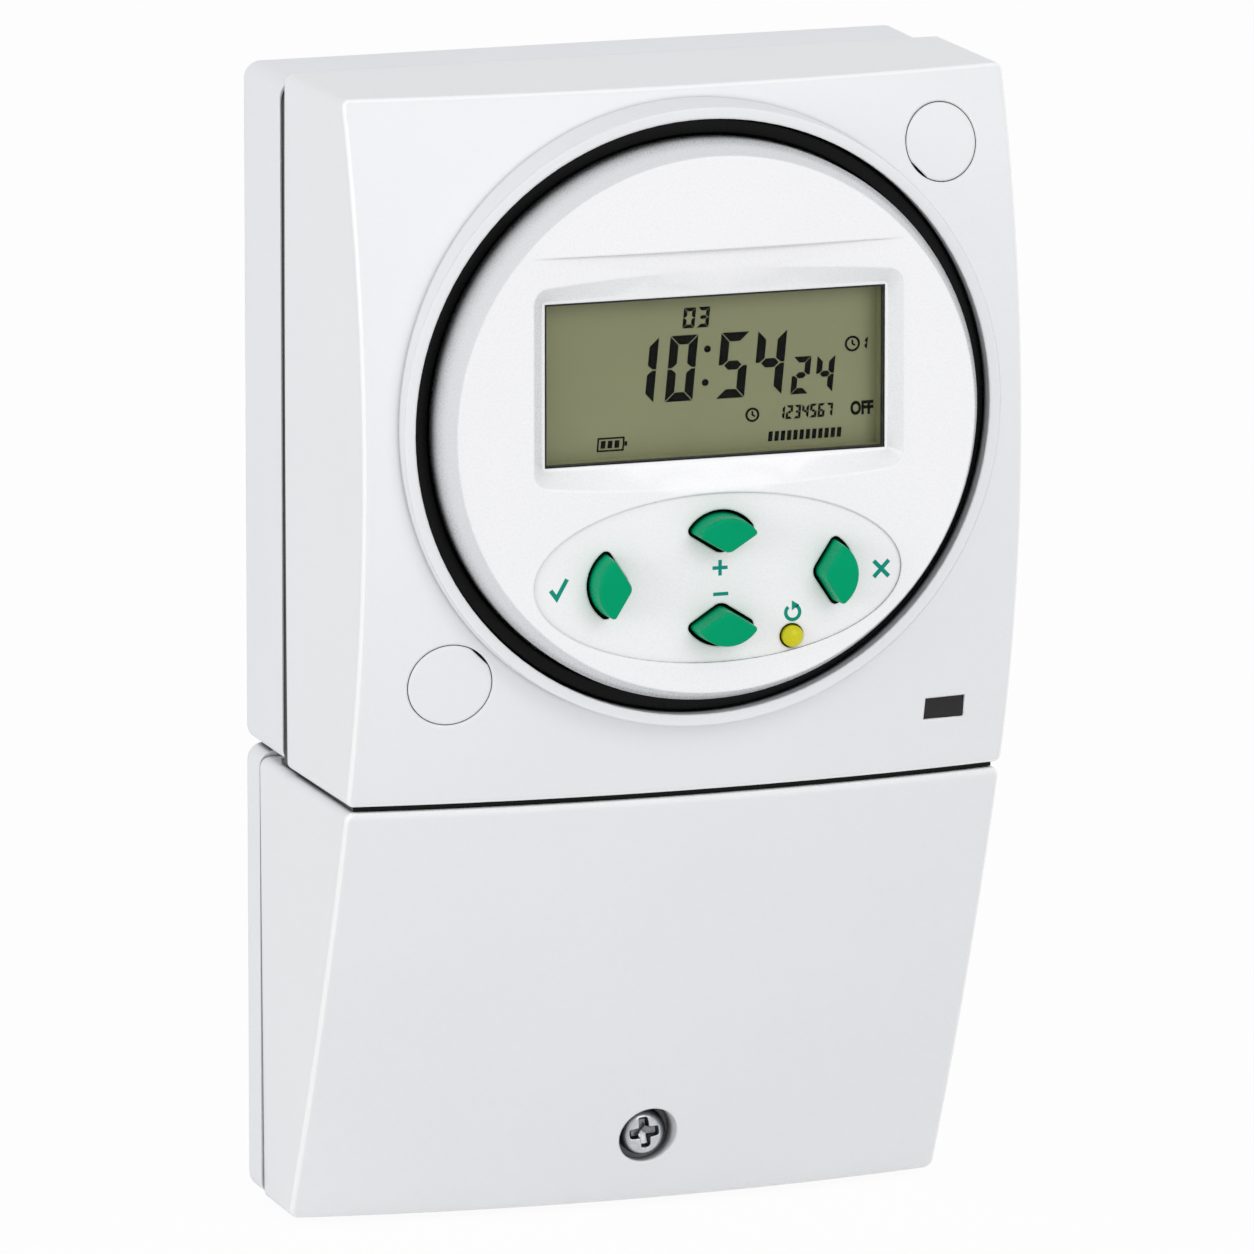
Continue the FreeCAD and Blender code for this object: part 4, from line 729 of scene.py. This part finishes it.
# %% A tree for rows of marks
rows, given, result = new_tree("row_of_marks", {
    "Count": ("Int", 5), "Step": ("Float", 0.001), "Wide": ("Float", 0.0005), "Tall": ("Float", 0.001),
    "Thick": ("Float", 0.00004), "Finish": ("Material", None)})
stride = add(rows, "ShaderNodeCombineXYZ", {}, {"X": given["Step"]}).outputs[0]
line = step(rows, "MeshLine", {"Count": given["Count"], "Offset": stride})
size = add(rows, "ShaderNodeCombineXYZ", {}, {"X": given["Wide"], "Y": given["Tall"], "Z": given["Thick"]})
mark = step(rows, "MeshCube", {"Size": size.outputs[0]})
real = step(rows, "RealizeInstances", {
    "Geometry": step(rows, "InstanceOnPoints", {"Points": line, "Instance": mark})})
height = add(rows, "ShaderNodeSeparateXYZ", {}, {"Vector": step(rows, "InputPosition", {})}).outputs["Y"]
shear = add(rows, "ShaderNodeCombineXYZ", {}, {"X": maths(rows, "MULTIPLY", height, lean)}).outputs[0]
leaned = step(rows, "SetPosition", {"Geometry": real, "Offset": shear})
end_tree(rows, leaned, given["Finish"], result)

# Each row: its first mark's place, the count of marks, their step, width and height in mm.
mark_rows = ((10.6, 38.0, 12, 1.0, 0.66, 1.5), (-16.1, 38.35, 3, 1.1, 0.74, 1.15))
joined = bmesh.new()
for x, z, count, pitch, wide, tall in mark_rows:
    mesh = grown("marks", rows, {"Count": count, "Step": pitch / 1000, "Wide": wide / 1000,
                                 "Tall": tall / 1000, "Thick": 0.00004, "Finish": segment_dark})
    joined.from_mesh(facing_front(mesh, x, z, on_glass))
    bpy.data.meshes.remove(mesh)
mark_mesh = bpy.data.meshes.new("display_marks")
joined.to_mesh(mark_mesh)
joined.free()
place_piece("display_marks", mark_mesh, "base", segment_dark)
print("rows of marks:", len(mark_rows), "faces", len(mark_mesh.polygons))

# %% [markdown]
# ## Small signs and a word
# A small clock face stands for a timed mode, the outline of a cell for the backup cell, and the
# word OFF shows the switch's state. The signs are strokes again. The word starts as a text object,
# which Blender turns into a mesh; its points are then fitted to the word's place on the glass and
# given the same thin body as the figures.

# %% Clock signs and the word
clocks, rim_stroke, hand_stroke = ((7.7, 41.5, 0.95), (23.7, 51.5, 1.05)), 0.34, 0.28
battery, battery_stroke = [(-17.0, 37.4), (-12.95, 37.4), (-12.8, 39.3), (-16.85, 39.3)], 0.26
battery_tip = [(-12.72, 38.0), (-12.3, 38.0), (-12.25, 38.7), (-12.67, 38.7)]
signs = []
for x, z, radius in clocks:
    signs += stroke(arc(x, z, radius, 0.0, 345.0, 23), rim_stroke, closed=True)
    signs += stroke([(x, z + 0.6), (x, z), (x + 0.44, z - 0.28)], hand_stroke)
signs += stroke(battery, battery_stroke, closed=True) + [battery_tip]
place_piece("display_clocks", prism(signs, glass, mark_top), "base", segment_dark)


def lettered(name, word, x0, z0, x1, z1, back, front, weight):
    """A word as a thin solid that fills the given place, seen from the front, in mm."""
    writing = bpy.data.curves.new(name + "_text", "FONT")
    writing.body, writing.size, writing.offset = word, 1.0, weight
    writing.extrude, writing.resolution_u = 0.05, 4
    mesh = applied(linked(name + "_text", writing), name)
    bpy.data.curves.remove(writing)
    low = [min(v.co[n] for v in mesh.vertices) for n in range(3)]
    high = [max(v.co[n] for v in mesh.vertices) for n in range(3)]
    for vertex in mesh.vertices:
        u, v, w = [(vertex.co[n] - low[n]) / (high[n] - low[n]) for n in range(3)]
        vertex.co = ((x0 + u * (x1 - x0)) / 1000, -(back + w * (front - back)) / 1000,
                     (z0 + v * (z1 - z0)) / 1000)
    return mesh


word_mesh = lettered("display_word", "OFF", 23.4, 40.45, 27.1, 42.65, glass, mark_top, 0.045)
place_piece("display_word", word_mesh, "base", segment_dark)
print("clock signs and word placed")

# %% [markdown]
# ## Terminal numbers
# With the lower cover off, the terminal block shows its five screws. Each terminal has its number
# printed above its screw, as an installer needs. The numbers are letters of the same kind as the
# word on the display.

# %% Terminal numbers
low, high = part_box("terminal_block")
block_front = -1000 * low.y
number_tall, number_over, narrow_digit, wide_digit, thicker = 2.4, 1.6, 0.8, 1.5, 0.01     # in mm
for n in range(1, 6):
    low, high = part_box("terminal_screw_%d" % n)
    x, z = centre_mm(low, high)[0], 1000 * high.z + number_over
    wide = narrow_digit if n == 1 else wide_digit
    mesh = lettered("terminal_number_%d" % n, str(n), x - wide / 2, z, x + wide / 2, z + number_tall,
                    block_front - 0.01, block_front + 0.03, thicker)
    place_piece("terminal_number_%d" % n, mesh, "base", number_ink)
print("terminal numbers at depth", round(block_front, 2))

# %% [markdown]
# ## Screws
# The cover is held by a pan-head machine screw with a cross recess. Two things make such a screw
# look real: a soft dome whose edge rolls over, and a recess whose arms slope down to a deep middle.
# Both are heights over a round grid, so the head is made as a disc of rings and spokes and each
# point is lifted or sunk by its place. The thread is a true helix, made by letting the radius
# follow the turn and the length together.


# %% Cross-recess screws
def smooth_step(value, low, high):
    """0 below low, 1 above high, and a soft change between them."""
    share = min(1.0, max(0.0, (value - low) / (high - low)))
    return share * share * (3.0 - 2.0 * share)


def head_height(u, v, radius, tall):
    """How far the head stands above its seat at a point of its disc, in mm. The recess is a cross of arms,
    wider towards its middle, with a deeper hole where they meet. Its measures are shares of the radius."""
    edge_share, arm_half, arm_flare, arm_start, arm_end = 0.50, 0.165, 0.05, 0.52, 0.66
    hole_start, hole_end, slope, shallow, deeper = 0.20, 0.34, 0.12, 0.85, 1.1
    r = min(radius, math.hypot(u, v))
    edge = tall * edge_share
    dome = edge + (tall - edge) * math.sqrt(max(0.0, 1.0 - (r / radius) ** 4.0))
    long_way, short_way = max(abs(u), abs(v)), min(abs(u), abs(v))
    half_arm = arm_half * radius + arm_flare * radius * (1.0 - min(1.0, long_way / (0.6 * radius)))
    inside = (1.0 - smooth_step(short_way, half_arm - slope, half_arm + slope)) * (
        1.0 - smooth_step(long_way, arm_start * radius, arm_end * radius))
    corner = 1.0 - smooth_step(r, hole_start * radius, hole_end * radius)
    depth = shallow + deeper * (1.0 - min(1.0, long_way / (0.62 * radius)))
    return dome - depth * max(inside, corner)


def screw_mesh(name, x, z, seat, tip, head_radius, head_tall, shank_radius, turned):
    """A closed screw: domed head with its recess, plain neck, helical thread and a chamfered end."""
    shape = bmesh.new()
    spokes, rings = 120, 44
    pitch, deep, rows_in_pitch = 0.8, 0.36, 8
    neck, undercut, taper, taper_long = 0.4, 0.12, 0.45, 0.9
    around = [2.0 * math.pi * n / spokes for n in range(spokes)]
    loops = []
    for n in range(1, rings + 1):
        r = head_radius * (n / rings) ** 0.94
        loops.append([(r * math.cos(a), r * math.sin(a), seat + head_height(
            r * math.cos(a - turned), r * math.sin(a - turned), head_radius, head_tall)) for a in around])
    for r, depth in ((head_radius, seat + undercut), (head_radius - undercut, seat), (shank_radius, seat)):
        loops.append([(r * math.cos(a), r * math.sin(a), depth) for a in around])
    row = pitch / rows_in_pitch
    for depth in [seat - neck - n * pitch / rows_in_pitch for n in range(int((seat - neck - tip) / row))]:
        past_tip = smooth_step(depth - tip, 0.0, taper_long)
        fade = smooth_step(seat - depth, 0.6, 2.0) * past_tip
        phases = [(depth / pitch + a / (2.0 * math.pi)) % 1.0 for a in around]
        radii = [shank_radius - deep * fade * abs(2.0 * p - 1.0) - taper * (1.0 - past_tip) for p in phases]
        loops.append([(r * math.cos(a), r * math.sin(a), depth) for r, a in zip(radii, around)])
    made = [[shape.verts.new(((x + u) / 1000, -depth / 1000, (z + v) / 1000)) for u, v, depth in loop]
            for loop in loops]
    top = seat + head_height(0.0, 0.0, head_radius, head_tall)
    middle = shape.verts.new((x / 1000, -top / 1000, z / 1000))
    end = shape.verts.new((x / 1000, -tip / 1000, z / 1000))
    for n in range(spokes):
        m = (n + 1) % spokes
        shape.faces.new((middle, made[0][n], made[0][m]))
        shape.faces.new((end, made[-1][m], made[-1][n]))
        for inner, outer in zip(made, made[1:]):
            shape.faces.new((inner[n], outer[n], outer[m], inner[m]))
    bmesh.ops.recalc_face_normals(shape, faces=shape.faces)
    for face in shape.faces:
        face.smooth = True
    for edge in shape.edges:
        edge.smooth = edge.calc_face_angle(0.0) < math.radians(50.0)
    mesh = bpy.data.meshes.new(name)
    shape.to_mesh(mesh)
    shape.free()
    return mesh


head_tall, shank_radius, wider_head = 2.4, 1.75, 0.3           # in mm; the last for the cover's screw
for node, piece_name, turned, taller in (("cover_screw", "cover_screw_plated", 0.10, 1.0),
                                         ("body_screw_upper", "body_screw_plated_1", 0.6, 0.0),
                                         ("body_screw_lower", "body_screw_plated_2", 1.1, 0.0)):
    low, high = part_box(node)
    x, z = centre_mm(low, high)
    head_radius, front = 500 * (high.x - low.x) + wider_head * taller, -1000 * low.y
    mesh = screw_mesh(piece_name, x, z, front - head_tall, -1000 * high.y, head_radius, head_tall + taller,
                      shank_radius, turned)
    place_piece(piece_name, mesh, body_of[node], zinc_steel, (node,))
    print(piece_name, "at", round(x, 2), round(z, 2), "faces", len(mesh.polygons))

# %% [markdown]
# ## Solder joints on the main board
# The main board's components are soldered through it, and each leg leaves a small shiny cone on the
# back. They are the same cone again and again, so one node tree sets a cone on every point of a
# mesh, turned by a seeded random angle so that no two catch the light alike.

# %% Solder joints
joints, given, result = new_tree("solder_joints", {
    "Radius": ("Float", 0.0011), "Height": ("Float", 0.0008), "Seed": ("Int", 7),
    "Finish": ("Material", None)})
cone = step(joints, "MeshCone", {"Vertices": 14, "Side Segments": 3, "Radius Top": 0.0003,
                                 "Radius Bottom": given["Radius"], "Depth": given["Height"]})
angle = add(joints, "FunctionNodeRandomValue", {"data_type": "FLOAT_VECTOR"},
            {"Min": (-0.12, -0.12, 0.0), "Max": (0.12, 0.12, 6.28), "Seed": given["Seed"]})
repeat = step(joints, "InstanceOnPoints", {"Points": given["Geometry"], "Instance": cone,
                                           "Rotation": angle.outputs[0]})
smooth = step(joints, "SetShadeSmooth", {"Geometry": step(joints, "RealizeInstances", {"Geometry": repeat})})
end_tree(joints, smooth, given["Finish"], result)

legs = []
for node, count_x, count_z in (("transformer", 3, 2), ("relay", 4, 2), ("capacitor", 2, 1),
                               ("riser_board", 9, 1)):
    low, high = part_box(node)
    for i in range(count_x):
        for k in range(count_z):
            share_x, share_z = (i + 1) / (count_x + 1), (k + 1) / (count_z + 1)
            legs.append((low.x + (high.x - low.x) * share_x, low.z + (high.z - low.z) * share_z, 0.0))
points = bpy.data.meshes.new("legs")
points.from_pydata(legs, [], [])
low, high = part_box("main_board")
joint_mesh = grown("solder_joints", joints, {"Radius": 0.0010, "Height": 0.0008, "Seed": 7,
                                             "Finish": solder}, points)
cone_half, sunk = 0.0004, 0.00005                              # in metres
for vertex in joint_mesh.vertices:
    u, v, w = vertex.co
    vertex.co = (u, high.y + cone_half + w - sunk, v)
place_piece("solder_joints", joint_mesh, "base", solder)
print("solder joints:", len(legs))

# %% [markdown]
# ## Painted shade in the joint
# Between the two covers runs a thin dark line. A black strip a little behind the surface paints the
# shade in the joint, which makes the line look black. It is a flat strip that follows the crowned
# front, so its outline is worked out from the same two arcs as the covers.

# %% Painted shade strip in the joint
low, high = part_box("terminal_cover")
upper_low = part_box("front_cover")[0]
shade_strip_clear, crown_steps = 0.15, 40
shade_strip_low, shade_strip_high = 1000 * high.z + shade_strip_clear, 1000 * upper_low.z - shade_strip_clear
print("joint from", round(1000 * high.z, 2), "to", round(1000 * upper_low.z, 2))


def joint_line(inset):
    """Points of the covers' outline in the joint, moved inwards, as x and depth in mm. The crowned front
    is an arc over the width; lifted by it, a second arc over the height gives the depth at the joint."""
    half_wide, crown, back, drop, tall_arc, tall_middle = 52.7, 312.0, 12.0, 53.0, 160.0, -101.4
    wide = half_wide - inset
    line = [(-wide, back)]
    for n in range(crown_steps + 1):
        x = -wide + 2.0 * wide * n / crown_steps
        lift = math.sqrt(crown ** 2 - x ** 2) - math.sqrt(crown ** 2 - half_wide ** 2)
        line.append((x, tall_middle + math.sqrt((tall_arc + lift) ** 2 - drop ** 2) - inset))
    return line + [(wide, back)]


shade_strip_from, shade_strip_to = 1.3, 4.5                                  # how far it lies behind the surface in mm
outer_line, inner_line = joint_line(shade_strip_from), joint_line(shade_strip_to)
shape = bmesh.new()
levels = [[[shape.verts.new((x / 1000, -depth / 1000, z / 1000)) for x, depth in line]
           for line in (outer_line, inner_line)] for z in (shade_strip_low, shade_strip_high)]
count = len(outer_line)
for n in range(count - 1):
    (a, b), (c, d) = levels
    for quad in ((a[n], a[n + 1], b[n + 1], b[n]), (c[n], d[n], d[n + 1], c[n + 1]),
                 (a[n], c[n], c[n + 1], a[n + 1]), (b[n], b[n + 1], d[n + 1], d[n])):
        shape.faces.new(quad)
for n in (0, count - 1):
    shape.faces.new((levels[0][0][n], levels[0][1][n], levels[1][1][n], levels[1][0][n]))
shade_strip_mesh = closed_mesh(shape, "joint_shade_strip")
# The black strip is painted shade in the joint between the covers.
place_piece("joint_shade_strip", shade_strip_mesh, "base", rubber_and_painted_shade)
print("dust seal faces", len(shade_strip_mesh.polygons))

# %% [markdown]
# ## The side joints
# On both sides a groove 2 mm wide parts the upper cover from the housing. The same black strip lies in
# it as painted shade, 0.22 mm under the surface, so that a fine pale edge shows beside the dark line.
# It is a plain strip that fills the groove and ends in an arc, because it follows the rounded upper
# corner of the housing.

# %% Painted shade strips in the side joints
strip_in, corner_x, corner_z, corner_round = 50.3, 50.15, 85.75, 2.83      # in mm
strip_back, strip_front, over_foot = 18.55, 20.45, 0.6
strip_foot = 1000 * upper_low.z + over_foot
half_strip = [(strip_in, strip_foot), (corner_x + corner_round, strip_foot)]
half_strip += arc(corner_x, corner_z, corner_round, 0.0, 80.0, 12) + [(strip_in, corner_z)]
strips = [[(side * x, z) for x, z in half_strip] for side in (-1, 1)]
# The black strips are painted shade in the side grooves.
place_piece("side_joint_shade_strip", prism(strips, strip_back, strip_front), "base", rubber_and_painted_shade)
print("side seals from", round(strip_foot, 2), "to", round(half_strip[-2][1], 2))

# %% [markdown]
# ## Floor, light and background
# The floor is plain and pale and keeps the object's soft shadow. The camera sees the far background
# as white, while the light that reaches the object stays at a plain level, so that every colour
# renders about as it is written. A large lamp above and in front of the switch makes its front the
# brightest face, and a weaker one on its left keeps the side pale. The sloping lower cover is
# greyer, as under a high window.

# %% Floor
floor_z, floor_reach = -0.0905, 4                              # in metres, just under the switch
corners = [(x * floor_reach, y * floor_reach, floor_z) for x, y in ((-1, -1), (1, -1), (1, 1), (-1, 1))]
plane = bpy.data.meshes.new("floor")
plane.from_pydata(corners, [], [(0, 1, 2, 3)])
floor = linked("floor", plane)
floor_paint, tree, coords, output = new_material("pale_floor_paint")
paint = blend(tree, noise(tree, coords, 250.0, 2.0), "F2F2F2", "EFEFEF")
matt = add(tree, "ShaderNodeBsdfDiffuse", {}, {"Color": paint})
seen = add(tree, "ShaderNodeEmission", {}, {"Color": (1.0, 1.0, 1.0, 1.0), "Strength": 1.0})
rays = tree.nodes.new("ShaderNodeLightPath").outputs
views = maths(tree, "MAXIMUM", maths(tree, "MAXIMUM", rays["Is Camera Ray"], rays["Is Glossy Ray"]),
              rays["Is Transmission Ray"])
white_share = 0.95                 # the rest is painted floor, which takes the shadow
floor_mix = add(tree, "ShaderNodeMixShader", {}, {0: maths(tree, "MULTIPLY", views, white_share),
                                                  1: matt.outputs[0], 2: seen.outputs[0]})
tree.links.new(floor_mix.outputs[0], output.inputs["Surface"])
plane.materials.append(floor_paint)
print("floor at", round(1000 * floor_z, 1), "mm")

# %% World and lamps
scene.view_settings.view_transform = "Standard"
world = bpy.data.worlds.new("studio")
scene.world = world
world.use_nodes = True
tree = world.node_tree
tree.nodes.clear()
rays = tree.nodes.new("ShaderNodeLightPath").outputs
views = maths(tree, "MAXIMUM", maths(tree, "MAXIMUM", rays["Is Camera Ray"], rays["Is Transmission Ray"]),
              rays["Is Glossy Ray"])
room = add(tree, "ShaderNodeBackground", {}, {"Color": (0.985, 0.99, 1.0, 1.0), "Strength": 0.67})
white = add(tree, "ShaderNodeBackground", {}, {"Color": (1.0, 1.0, 1.0, 1.0), "Strength": 1.0})
sky = add(tree, "ShaderNodeMixShader", {}, {0: views, 1: room.outputs[0], 2: white.outputs[0]})
add(tree, "ShaderNodeOutputWorld", {}, {"Surface": sky.outputs[0]})


def lamp(name, position, size, power):
    """A square lamp that looks at the object."""
    data = bpy.data.lights.new(name, "AREA")
    data.size, data.energy = size, power
    return aimed(name, data, position, target - Vector(position))


lamp("key_lamp", (0.60, -1.80, 1.05), 1.3, 11.2)
lamp("side_lamp", (-1.71, -0.58, 0.18), 1.0, 9.0)
print("lamps ready")

# %% The end
bpy.context.view_layer.update()
